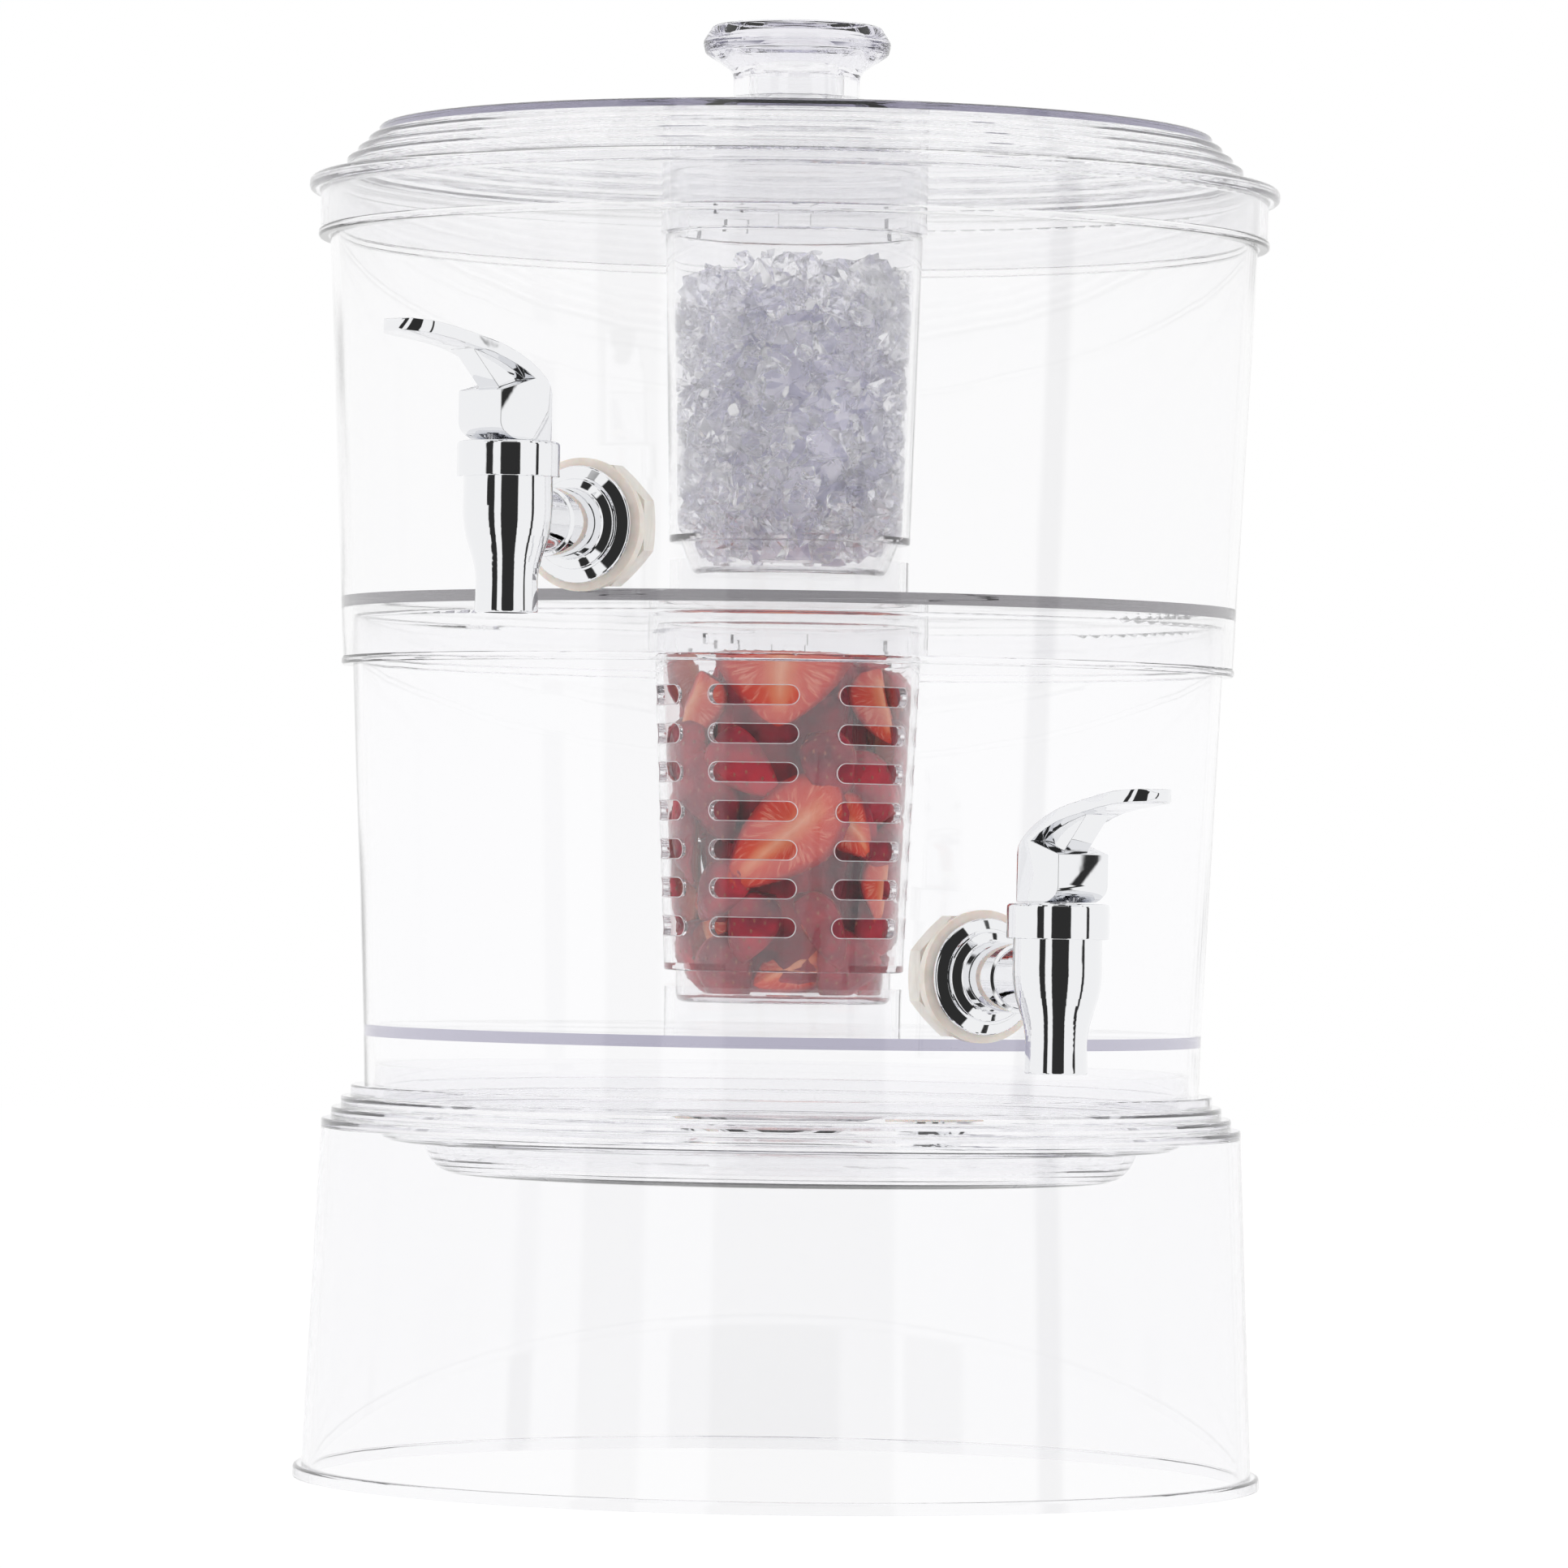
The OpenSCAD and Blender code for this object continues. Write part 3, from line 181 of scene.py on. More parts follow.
def between(tree, value, low, high, soft):
    rise = node(tree, "ShaderNodeMapRange", Value=value, From_Min=low - soft, From_Max=low + soft)
    fall = node(tree, "ShaderNodeMapRange", Value=value, From_Min=high - soft, From_Max=high + soft,
                To_Min=1.0, To_Max=0.0)
    rise.interpolation_type = "SMOOTHSTEP"
    fall.interpolation_type = "SMOOTHSTEP"
    return math_node(tree, "MULTIPLY", rise.outputs["Result"], fall.outputs["Result"])


def sector(angle, low, high, soft):
    return between(sky, angle, math.radians(low), math.radians(high), soft)


def both(a, b):
    return math_node(sky, "MULTIPLY", a, b)


def either(a, b):
    return math_node(sky, "MAXIMUM", a, b)


looking = sky.nodes.new("ShaderNodeTexCoord").outputs["Generated"]
towards = node(sky, "ShaderNodeSeparateXYZ", Vector=looking)
east, north, up = (towards.outputs[axis] for axis in "XYZ")
bearing = math_node(sky, "ARCTAN2", east, math_node(sky, "MULTIPLY", north, -1.0))
height = math_node(sky, "ARCSINE", up)
gap_left = sector(bearing, -49, -33, soft=0.02)
gap_behind_camera = sector(bearing, -16, 28, soft=0.02)
gap_right = sector(bearing, 66, 73, soft=0.02)
front_gaps = either(gap_left, gap_behind_camera)
low_enough = sector(height, -76, 56, soft=0.12)
level = sector(height, -9, 9, soft=0.03)
print("studio gaps: left, behind the camera and on the right")

# %% [markdown]
# Each kind of ray gets what it needs from this studio. The camera sees plain white, and so does
# a ray that leaves at the back through a clear wall. A matt surface gets a softer white as its
# light. A mirrored ray sees the gaps nearly black. A ray that leaves through a wall after a
# reflection draws the rims and steps of the clear parts: it sees the gaps in a violet grey, but
# those in front not level with the horizon, where they would show as broad bands. A path of many
# bounces sees only white, so that the depth of the stack stays bright. Ice and fruit get their
# light through clear walls, which no lamp reaches, so a ray that has left a matt surface and then
# passes a wall meets plain white too.

# %% What each kind of ray sees
longest_dark_path = 7.5
gap_depth = 0.97
gap_through_walls = (0.16, 0.155, 0.22)
light_for_matt = 0.62
edge_of_the_back = 0.1
white = (1, 1, 1, 1)

rays = sky.nodes.new("ShaderNodeLightPath").outputs
is_through = rays["Is Transmission Ray"]
short_path = math_node(sky, "LESS_THAN", rays["Ray Depth"], longest_dark_path)
was_mirrored = math_node(sky, "MINIMUM", rays["Glossy Depth"], 1.0)
left_matt = math_node(sky, "MINIMUM", rays["Diffuse Depth"], 1.0)
dark = both(both(either(front_gaps, gap_right), low_enough), short_path)
front_gaps_not_level = both(front_gaps, math_node(sky, "SUBTRACT", 1.0, level))
gaps_through = both(either(front_gaps_not_level, gap_right), low_enough)
dark_through = both(gaps_through, both(short_path, was_mirrored))
studio_level = math_node(sky, "MULTIPLY_ADD", dark, -gap_depth, 1.0)
softer_gap = ramp(sky, dark_through, (0.0, (1, 1, 1)), (1.0, gap_through_walls))
at_the_back = node(sky, "ShaderNodeMapRange", Value=north, From_Min=-edge_of_the_back,
                   From_Max=edge_of_the_back).outputs["Result"]
sees_white = either(rays["Is Camera Ray"], both(is_through, either(at_the_back, left_matt)))


def background(colour, strength):
    return node(sky, "ShaderNodeBackground", Color=colour, Strength=strength).outputs[0]


def choose(tree, factor, off, on):
    made = tree.nodes.new("ShaderNodeMixShader")
    tree.links.new(factor, made.inputs[0])
    tree.links.new(off, made.inputs[1])
    tree.links.new(on, made.inputs[2])
    return made.outputs[0]


studio = choose(sky, is_through, background(white, studio_level), background(softer_gap, 1.0))
lit = choose(sky, either(rays["Is Glossy Ray"], is_through), background(white, light_for_matt), studio)
sky_out = sky.nodes.new("ShaderNodeOutputWorld")
sky.links.new(choose(sky, sees_white, lit, background(white, 1.0)), sky_out.inputs["Surface"])
print("world nodes:", len(sky.nodes))


# %% [markdown]
# Three large soft lamps stand for the studio's light boxes. They only light: reflections come
# from the world, so no lamp shows as a hard square in the plating.

# %% Lamps
middle_of_stack = Vector((0, 0, 0.2))


def soft_lamp(name, place, side, watts):
    data = bpy.data.lights.new(name, "AREA")
    data.shape = "SQUARE"
    data.size = side
    data.energy = watts
    lamp = bpy.data.objects.new(name, data)
    scene.collection.objects.link(lamp)
    lamp.location = place
    lamp.rotation_euler = (middle_of_stack - Vector(place)).to_track_quat("-Z", "Y").to_euler()
    lamp.visible_glossy = False
    lamp.visible_transmission = False
    return lamp


lamps = [
    soft_lamp("key_left", (-1.5, -1.5, 1.5), side=1.3, watts=16),
    soft_lamp("fill_right", (1.7, -1.2, 0.9), side=1.3, watts=9),
    soft_lamp("top", (0.2, 0.6, 2.1), side=1.6, watts=10),
]
print("lamps:", [lamp.name for lamp in lamps])

# %% [markdown]
# The floor is matt and pale. Camera and transmitted rays see it nearly as white as the
# backdrop, and what is left of its own shading keeps a faint shadow under the stack. Mirrored
# rays pass it, so that the plating shows the studio below the horizon as well.

# %% Floor
reach = 4
share_of_white = 0.9
floor_mesh = bpy.data.meshes.new("floor")
floor_mesh.from_pydata([(x, y, 0) for x, y in ((-reach, -reach), (reach, -reach), (reach, reach),
                                               (-reach, reach))], [], [(0, 1, 2, 3)])
floor = bpy.data.objects.new("floor", floor_mesh)
scene.collection.objects.link(floor)
floor_finish = bpy.data.materials.new("studio_floor")
floor_finish.use_nodes = True
ground = floor_finish.node_tree
ground.nodes.clear()
matt = node(ground, "ShaderNodeBsdfDiffuse", Color=(0.9, 0.9, 0.9, 1)).outputs[0]
bright = node(ground, "ShaderNodeEmission", Color=white, Strength=1.05).outputs[0]
unseen = ground.nodes.new("ShaderNodeBsdfTransparent").outputs[0]
floor_rays = ground.nodes.new("ShaderNodeLightPath").outputs
floor_seen = math_node(ground, "MAXIMUM", floor_rays["Is Camera Ray"], floor_rays["Is Transmission Ray"])
nearly_white = math_node(ground, "MULTIPLY", floor_seen, share_of_white)
surface = choose(ground, floor_rays["Is Glossy Ray"], choose(ground, nearly_white, matt, bright), unseen)
ground_out = ground.nodes.new("ShaderNodeOutputMaterial")
ground.links.new(surface, ground_out.inputs["Surface"])
floor_mesh.materials.append(floor_finish)
print("floor:", 2 * reach, "m wide")


# %% [markdown]
# ## Clear plastic
# Tanks, base, lid, knob and tubes are injection-moulded in a clear styrene plastic, and the CAD
# gives each wall its two faces, so a refracting shader bends light as the real wall does. Three
# things keep it from looking like perfect glass. The melt cools unevenly, which leaves long,
# shallow waves in the surface. The surface carries hair-fine rub marks, which show as a slight
# roughness. And the resin is faintly violet, which only shows where one looks along a floor or
# a rim through many centimetres of it: an absorbing volume does exactly that.
#
# Each moulding has its own mix. The upper tank's resin is a neutral grey. Base and lid are thick
# and stepped, and waves or rub marks would blur their steps, so they have a trace of haze
# instead: the share of light that a wall scatters where it would otherwise pass it. The slotted
# tube has some haze too, and fruit looks mauve behind it and red in its slots.

# %% Clear plastic finishes
def clear_plastic(name, haze, waves, tint, density, rubbed):
    made, tree, shader = finish(name, (0.995, 0.995, 0.998), Metallic=0.0, IOR=1.5,
                                Transmission_Weight=1 - haze)
    rubs = node(tree, "ShaderNodeTexNoise", "rub marks", Vector=scaled_position(tree, (900, 900, 60)),
                Scale=1.0, Detail=3.0, Roughness=0.6)
    rough = node(tree, "ShaderNodeMapRange", Value=rubs.outputs["Fac"], From_Min=0.45, From_Max=0.8,
                 To_Min=0.0, To_Max=rubbed)
    tree.links.new(rough.outputs["Result"], shader.inputs["Roughness"])
    melt = node(tree, "ShaderNodeTexNoise", "melt waves", Vector=scaled_position(tree, (18, 18, 9)),
                Scale=1.0, Detail=2.0, Roughness=0.4)
    bump = node(tree, "ShaderNodeBump", Strength=waves, Distance=2 * mm, Height=melt.outputs["Fac"])
    tree.links.new(bump.outputs["Normal"], shader.inputs["Normal"])
    body = node(tree, "ShaderNodeVolumeAbsorption", Color=(*tint, 1), Density=density)
    tree.links.new(body.outputs["Volume"], tree.nodes["Material Output"].inputs["Volume"])
    return made


violet = (0.51, 0.49, 0.62)
thick_violet = (0.5, 0.48, 0.6)
grey = (0.5, 0.49, 0.51)
mixes = {
    # node: name of the finish, haze, waves, tint, density, rubbed
    "base": ("clear_base_plastic", 0.012, 0.0, thick_violet, 9.0, 0.0),
    "lower_tank": ("clear_tank_plastic", 0.0, 0.12, violet, 5.5, 0.07),
    "upper_tank": ("clear_upper_plastic", 0.0, 0.12, grey, 9.0, 0.07),
    "lid": ("clear_lid_plastic", 0.05, 0.0, thick_violet, 10.0, 0.0),
    "lid_knob": ("clear_knob_plastic", 0.0, 0.02, violet, 5.5, 0.01),
    "ice_core": ("clear_tube_plastic", 0.015, 0.15, violet, 3.0, 0.07),
    "infuser": ("clear_slotted_plastic", 0.025, 0.15, violet, 3.0, 0.07),
}
dress = {part: clear_plastic(*mix) for part, mix in mixes.items()}
print("clear parts:", list(dress))

# %% [markdown]
# ## Plated, silicone, nylon and steel parts
# The taps are moulded in plastic and plated, so they mirror almost perfectly, with a trace of
# orange peel from the moulding under the plating. Gaskets and seat cups are silicone, which
# lets light in a little way before it scatters. The lock nut is natural nylon, dull and
# off-white. Stem and pivot pin are turned steel, with tool marks round them.

# %% Tap finishes
def plating(name):
    made, tree, shader = finish(name, (0.86, 0.865, 0.88), Metallic=1.0)
    peel = node(tree, "ShaderNodeTexNoise", "orange peel", Vector=scaled_position(tree, (160, 160, 160)),
                Scale=1.0, Detail=2.0)
    smear = node(tree, "ShaderNodeTexNoise", "polish", Vector=scaled_position(tree, (45, 45, 25)),
                 Scale=1.0, Detail=4.0)
    rough = node(tree, "ShaderNodeMapRange", Value=smear.outputs["Fac"], From_Min=0.3, From_Max=0.8,
                 To_Min=0.025, To_Max=0.07)
    tree.links.new(rough.outputs["Result"], shader.inputs["Roughness"])
    bump = node(tree, "ShaderNodeBump", Strength=0.05, Distance=0.5 * mm, Height=peel.outputs["Fac"])
    tree.links.new(bump.outputs["Normal"], shader.inputs["Normal"])
    return made


def soft_polymer(name, low, high, roughness, bleed):
    made, tree, shader = finish(name, high, Metallic=0.0, Subsurface_Weight=bleed,
                                Subsurface_Scale=4 * mm)
    cloud = node(tree, "ShaderNodeTexNoise", "uneven melt", Vector=scaled_position(tree, (220, 220, 220)),
                 Scale=1.0, Detail=3.0)
    mixed = ramp(tree, cloud.outputs["Fac"], (0.3, low), (0.7, high))
    tree.links.new(mixed, shader.inputs["Base Color"])
    rough = node(tree, "ShaderNodeMapRange", Value=cloud.outputs["Fac"], To_Min=roughness,
                 To_Max=roughness + 0.15)
    tree.links.new(rough.outputs["Result"], shader.inputs["Roughness"])
    grain = node(tree, "ShaderNodeTexNoise", "moulded grain",
                 Vector=scaled_position(tree, (2500, 2500, 2500)), Scale=1.0, Detail=1.0)
    bump = node(tree, "ShaderNodeBump", Strength=0.12, Distance=0.2 * mm, Height=grain.outputs["Fac"])
    tree.links.new(bump.outputs["Normal"], shader.inputs["Normal"])
    return made


def turned_steel(name):
    made, tree, shader = finish(name, (0.62, 0.62, 0.64), Metallic=1.0)
    rings = node(tree, "ShaderNodeTexNoise", "tool marks", Vector=scaled_position(tree, (80, 80, 4000)),
                 Scale=1.0, Detail=2.0)
    rough = node(tree, "ShaderNodeMapRange", Value=rings.outputs["Fac"], To_Min=0.18, To_Max=0.36)
    tree.links.new(rough.outputs["Result"], shader.inputs["Roughness"])
    return made


chrome = plating("bright_plating")
silicone = soft_polymer("milky_silicone", (0.72, 0.66, 0.6), (0.82, 0.77, 0.71), roughness=0.4, bleed=0.35)
nylon = soft_polymer("natural_nylon", (0.76, 0.72, 0.66), (0.84, 0.81, 0.75), roughness=0.45, bleed=0.2)
steel = turned_steel("turned_steel")
tap_pieces = {
    "tap_body": chrome, "tap_bonnet": chrome, "tap_handle": chrome,
    "tap_outer_gasket": silicone, "tap_inner_gasket": silicone, "tap_seat_cup": silicone,
    "tap_lock_nut": nylon, "tap_stem": steel, "tap_pivot_pin": steel,
}
for tier in ("upper", "lower"):
    for piece, material in tap_pieces.items():
        dress[f"{tier}_{piece}"] = material
for part, material in dress.items():
    parts[part].data.materials.clear()
    parts[part].data.materials.append(material)
print("dressed:", len(dress), "of", len(parts), "nodes")

# %% [markdown]
# ## Crushed ice
# The ice is about eight hundred clear crystals with large flat facets, and two hundred small
# frosted chips near the wall. Modelling one crystal by hand and copying it would show the
# copies, and a fluid or rigid body pour would be slow and would not come out twice the same.
# Instead the places are thrown at random, largest first, and kept where they don't crowd a
# neighbour. Three big lumps near the top are listed before the rest. Geometry Nodes then
# puts a crystal on each place: every variant is the convex hull of a few points that are pushed
# about at random, because a convex hull of few points has the large flat faces of broken ice.

# %% Throw the crystals' places
rng = np.random.default_rng(7)
# heights in the tube, and its inner radius there
ice_floor = 291.6
ice_inside = ([ice_floor, 301.5, 301.7, 398.0], [28.0, 31.8, 36.1, 38.8])
# x across the tube, and the height of the pile there
ice_top = ([-40, -28, -12, 8, 13, 22, 40], [384, 387, 393, 392, 384, 393, 389])
thrown_radius = 40
thrown_height = 400
# how far a crystal stays from floor, wall and top, as a share of its size
share_from_floor = 0.8
share_from_wall = 0.3
share_from_top = 0.9


def scatter(count, inner_r, sizes, spacing, first=(), tries=60000):
    """Places in the ice tube as rows of x, y, z and size, in millimetres."""
    kept = np.array(first, dtype=float).reshape(-1, 4)
    for _ in range(tries):
        if len(kept) == count:
            break
        size = sizes[0] + (sizes[1] - sizes[0]) * (1 - len(kept) / count)
        r = math.sqrt(rng.uniform(inner_r ** 2, thrown_radius ** 2))
        turn = rng.uniform(0, math.tau)
        z = rng.uniform(ice_floor + share_from_floor * size, thrown_height)
        x = r * math.cos(turn)
        y = r * math.sin(turn)
        past_wall = r > np.interp(z, *ice_inside) - share_from_wall * size
        past_top = z > np.interp(x, *ice_top) - share_from_top * size
        if past_wall or past_top:
            continue
        near = np.linalg.norm(kept[:, :3] - (x, y, z), axis=1)
        if len(kept) and (near < spacing * (kept[:, 3] + size)).any():
            continue
        kept = np.vstack([kept, (x, y, z, size)])
    return kept


big_lumps = [(-5, -23, 380, 11), (15, -21, 383, 9), (-26, -17, 380, 9)]
crystals = scatter(800, inner_r=20, sizes=(2.8, 7.8), spacing=0.46, first=big_lumps)
chips = scatter(200, inner_r=30, sizes=(1.0, 2.8), spacing=0.6)
print("crystal places:", len(crystals), "chips:", len(chips))


# %% [markdown]
# ## A small builder for Geometry Nodes
# The crystals and the seeds of the fruit are both grown from points, so a few helpers start
# such a tree, read a fact of the points, apply the finished tree to an object and turn places
# into points. The result of a tree is read back as a plain mesh, which is what the frame
# carries.

# %% Geometry Nodes helpers
def geometry_tree(name, **inputs):
    tree = bpy.data.node_groups.new(name, "GeometryNodeTree")
    tree.interface.new_socket(name="Geometry", in_out="INPUT", socket_type="NodeSocketGeometry")
    tree.interface.new_socket(name="Geometry", in_out="OUTPUT", socket_type="NodeSocketGeometry")
    for label, kind in inputs.items():
        tree.interface.new_socket(name=label.replace("_", " "), in_out="INPUT", socket_type=kind)
    return tree, tree.nodes.new("NodeGroupInput").outputs, tree.nodes.new("NodeGroupOutput").inputs


def named(tree, attribute, kind):
    made = tree.nodes.new("GeometryNodeInputNamedAttribute")
    made.data_type = kind
    made.inputs["Name"].default_value = attribute
    return made.outputs["Attribute"]


def as_plain_mesh(holder):
    """The holder's mesh with its modifiers applied; the holder itself goes."""
    view = bpy.context.evaluated_depsgraph_get()
    view.update()
    result = bpy.data.meshes.new_from_object(holder.evaluated_get(view), preserve_all_data_layers=True,
                                             depsgraph=view)
    bpy.data.objects.remove(holder)
    return result


def new_object(name, mesh):
    made = bpy.data.objects.new(name, mesh)
    scene.collection.objects.link(made)
    return made


def grown(name, mesh, tree, values):
    holder = new_object(name + "_places", mesh)
    modifier = holder.modifiers.new("grow", "NODES")
    modifier.node_group = tree
    for item in tree.interface.items_tree:
        if item.in_out == "INPUT" and item.name in values:
            modifier[item.identifier] = values[item.name]
    result = as_plain_mesh(holder)
    result.name = name
    return new_object(name, result)


def point_cloud(name, places, **attributes):
    mesh = bpy.data.meshes.new(name)
    mesh.from_pydata([tuple(p) for p in places], [], [])
    for label, values in attributes.items():
        values = np.asarray(values)
        kind = "INT" if values.dtype.kind == "i" else "FLOAT" if values.ndim == 1 else "FLOAT_VECTOR"
        layer = mesh.attributes.new(label, kind, "POINT")
        layer.data.foreach_set("vector" if kind == "FLOAT_VECTOR" else "value", values.ravel())
    return mesh


# %% [markdown]
# ## The crystals' finish
# Ice is nearly colourless; the grey-violet of the photograph comes from light lost on its way
# through many crystals, so the colour sits in the glass. Each crystal has a tone of its own. A
# trace of frost on some facets scatters light, and breaks up what would otherwise be clean
# glass. The middle of the pile is a mass of packed chips: light that gets so deep is lost among
# them, and a plain lump stands in for it there.

# %% Ice material
def frosted_ice(name, colour, clear, roughness, dark, pale):
    made, tree, shader = finish(name, colour, Metallic=0.0, IOR=1.42, Transmission_Weight=clear)
    chips = node(tree, "ShaderNodeTexVoronoi", "chips", Vector=scaled_position(tree, (210, 210, 210)),
                 Scale=1.0)
    chip_tone = node(tree, "ShaderNodeSeparateColor", Color=chips.outputs["Color"]).outputs[0]
    tone = math_node(tree, "MULTIPLY_ADD", fact(tree, "tone"), 0.6,
                     math_node(tree, "MULTIPLY", chip_tone, 0.4))
    tinted = ramp(tree, tone, (0.1, dark), (0.3, colour), (0.6, pale), (0.85, (1, 1, 1)))
    tree.links.new(tinted, shader.inputs["Base Color"])
    cloud = node(tree, "ShaderNodeTexNoise", "frost", Vector=scaled_position(tree, (130, 130, 130)),
                 Scale=1.0, Detail=4.0, Roughness=0.65)
    rough = node(tree, "ShaderNodeMapRange", Value=cloud.outputs["Fac"], From_Min=0.52, From_Max=0.7,
                 To_Min=roughness, To_Max=roughness + 0.25)
    tree.links.new(rough.outputs["Result"], shader.inputs["Roughness"])
    cracks = node(tree, "ShaderNodeTexVoronoi", "cracks", Vector=scaled_position(tree, (130, 130, 130)),
                  Scale=1.0)
    bump = node(tree, "ShaderNodeBump", Strength=0.3, Distance=1 * mm, Height=cracks.outputs["Distance"])
    tree.links.new(bump.outputs["Normal"], shader.inputs["Normal"])
    return made


ice_clear = frosted_ice("clear_ice", (0.98, 0.975, 0.995), clear=0.97, roughness=0.01,
                        dark=(0.88, 0.88, 0.94), pale=(0.995, 0.995, 1))
ice_packed = frosted_ice("packed_ice", (0.9, 0.88, 0.97), clear=0.0, roughness=0.12,
                         dark=(0.58, 0.57, 0.72), pale=(0.99, 0.98, 1))
ice_frosted = frosted_ice("frosted_chips", (0.97, 0.97, 1), clear=0.2, roughness=0.1,
                          dark=(0.5, 0.5, 0.62), pale=(1, 1, 1))
print("ice finishes:", ice_clear.name, ice_packed.name, ice_frosted.name)

# %% [markdown]
# ## The crystals
# Eight variants are enough, because each place turns and scales its own. The tree makes the
# variants, and each point says which one it takes, how it is turned and how large it is.

# %% Crystals from Geometry Nodes
variant_count = 8
variant_radius = 0.86
irregularity = 0.36
longest_side = 1.12
ice_tree, ice_in, ice_out = geometry_tree("ice_crystals", Irregularity="NodeSocketFloat",
                                          Ice="NodeSocketMaterial")
variants = ice_tree.nodes.new("GeometryNodeJoinGeometry")
for seed in range(variant_count):
    ball = ice_tree.nodes.new("GeometryNodeMeshIcoSphere")
    ball.inputs["Radius"].default_value = variant_radius
    ball.inputs["Subdivisions"].default_value = 1
    push = ice_tree.nodes.new("FunctionNodeRandomValue")
    push.data_type = "FLOAT_VECTOR"
    push.inputs[0].default_value = (-1, -1, -1)
    push.inputs["Seed"].default_value = seed
    amount = ice_tree.nodes.new("ShaderNodeVectorMath")
    amount.operation = "SCALE"
    ice_tree.links.new(push.outputs[0], amount.inputs[0])
    ice_tree.links.new(ice_in["Irregularity"], amount.inputs["Scale"])
    moved = ice_tree.nodes.new("GeometryNodeSetPosition")
    ice_tree.links.new(ball.outputs["Mesh"], moved.inputs["Geometry"])
    ice_tree.links.new(amount.outputs[0], moved.inputs["Offset"])
    hull = ice_tree.nodes.new("GeometryNodeConvexHull")
    ice_tree.links.new(moved.outputs[0], hull.inputs[0])
    as_one = ice_tree.nodes.new("GeometryNodeGeometryToInstance")
    ice_tree.links.new(hull.outputs[0], as_one.inputs[0])
    ice_tree.links.new(as_one.outputs[0], variants.inputs[0])


def end_tree(tree, placing, material, out):
    """Makes the instances of placing real, gives them the material and ends the tree."""
    real = tree.nodes.new("GeometryNodeRealizeInstances")
    tree.links.new(placing.outputs[0], real.inputs[0])
    coated = tree.nodes.new("GeometryNodeSetMaterial")
    tree.links.new(real.outputs[0], coated.inputs["Geometry"])
    tree.links.new(material, coated.inputs["Material"])
    tree.links.new(coated.outputs[0], out)


placed = ice_tree.nodes.new("GeometryNodeInstanceOnPoints")
placed.inputs["Pick Instance"].default_value = True
for source, target in ((ice_in["Geometry"], "Points"), (variants.outputs[0], "Instance"),
                       (named(ice_tree, "kind", "INT"), "Instance Index"),
                       (named(ice_tree, "turn", "FLOAT_VECTOR"), "Rotation"),
                       (named(ice_tree, "size", "FLOAT_VECTOR"), "Scale")):
    ice_tree.links.new(source, placed.inputs[target])
end_tree(ice_tree, placed, ice_in["Ice"], ice_out[0])


def grow_crystals(name, places, shortest_side, material):
    count = len(places)
    stretch = places[:, 3:] * rng.uniform(shortest_side, longest_side, (count, 3)) * mm
    turns = rng.uniform(0, math.tau, (count, 3))
    kinds = rng.integers(0, variant_count, count)
    tones = rng.uniform(0, 1, count)
    points = point_cloud(name + "_points", places[:, :3] * mm, size=stretch, turn=turns, kind=kinds,
                         tone=tones)
    return grown(name, points, ice_tree, {"Irregularity": irregularity, "Ice": material})


ice = grow_crystals("ice_crystals", crystals, 0.75, ice_clear)
ice_chips = grow_crystals("ice_chips", chips, 0.4, ice_frosted)
print("crystal faces:", len(ice.data.polygons), "chip faces:", len(ice_chips.data.polygons))


# %% [markdown]
# The crystals that lean on the tube are pressed to its inside, so that none of them pokes
# through the wall. The imported crushed ice is hidden, and the middle is a closed lump of rings, each a
# little uneven.

# %% Keep the ice inside its tube
def press_inside(made, room, low, gap):
    data = made.data
    places = np.empty(len(data.vertices) * 3)
    data.vertices.foreach_get("co", places)
    places = places.reshape(-1, 3) / mm
    places[:, 2] = np.maximum(places[:, 2], low)
    r = np.hypot(places[:, 0], places[:, 1])
    limit = np.interp(places[:, 2], *room) - gap
    places[:, :2] *= np.minimum(1, limit / np.maximum(r, 0.01))[:, None]
    data.vertices.foreach_set("co", (places * mm).ravel())
    data.update()
    return int((r > limit).sum())


def lump(name, profile, sides, wobble, material, body):
    """A closed, uneven lump that is turned from (height, radius) pairs in millimetres."""
    rings = [(0, 0, profile[0][0])]
    for row, (z, r) in enumerate(profile):
        for side in range(sides):
            turn = math.tau * side / sides
            swell = 1 + wobble * math.sin(5 * turn + 1.7 * row) * math.sin(3 * turn + 0.9 * row)
            rings.append((r * swell * math.cos(turn), r * swell * math.sin(turn), z))
    rings.append((0, 0, profile[-1][0] + 1))
    faces = [(0, 1 + (k + 1) % sides, 1 + k) for k in range(sides)]
    for row in range(len(profile) - 1):
        at = 1 + row * sides
        faces += [(at + k, at + (k + 1) % sides, at + sides + (k + 1) % sides, at + sides + k)
                  for k in range(sides)]
    at = 1 + (len(profile) - 1) * sides
    faces += [(at + k, at + (k + 1) % sides, at + sides) for k in range(sides)]
    mesh = bpy.data.meshes.new(name)
    mesh.from_pydata([tuple(c * mm for c in place) for place in rings], [], faces)
    mesh.materials.append(material)
    made = new_object(name, mesh)
    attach(made, body)
    return made


for pile in (ice, ice_chips):
    pressed = press_inside(pile, ice_inside, low=292, gap=0.2)
    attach(pile, "ice_core")
    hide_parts("crushed_ice")
    print(pile.name, "pressed points:", pressed)
ice_heart = lump("ice_heart", [(294, 15), (300, 21), (330, 26), (362, 26), (374, 22), (381, 14)],
                 sides=48, wobble=0.1, material=ice_packed, body="ice_core")

# %% [markdown]
# ## Strawberries
# The infuser is packed with halved and quartered strawberries. A piece is a wedge of a turned
# body: skin outside, and one flat cut face on each side that runs in to the core. A sculpted
# berry would be easier to cut with a boolean, but building the wedge directly keeps two useful
# facts on every point: how deep it lies under the skin, and how far along the berry. The flesh
# material reads both, because what one sees on a cut strawberry follows them: a pale core,
# pale strands that run out from it, orange-red flesh and a thin dark rim.

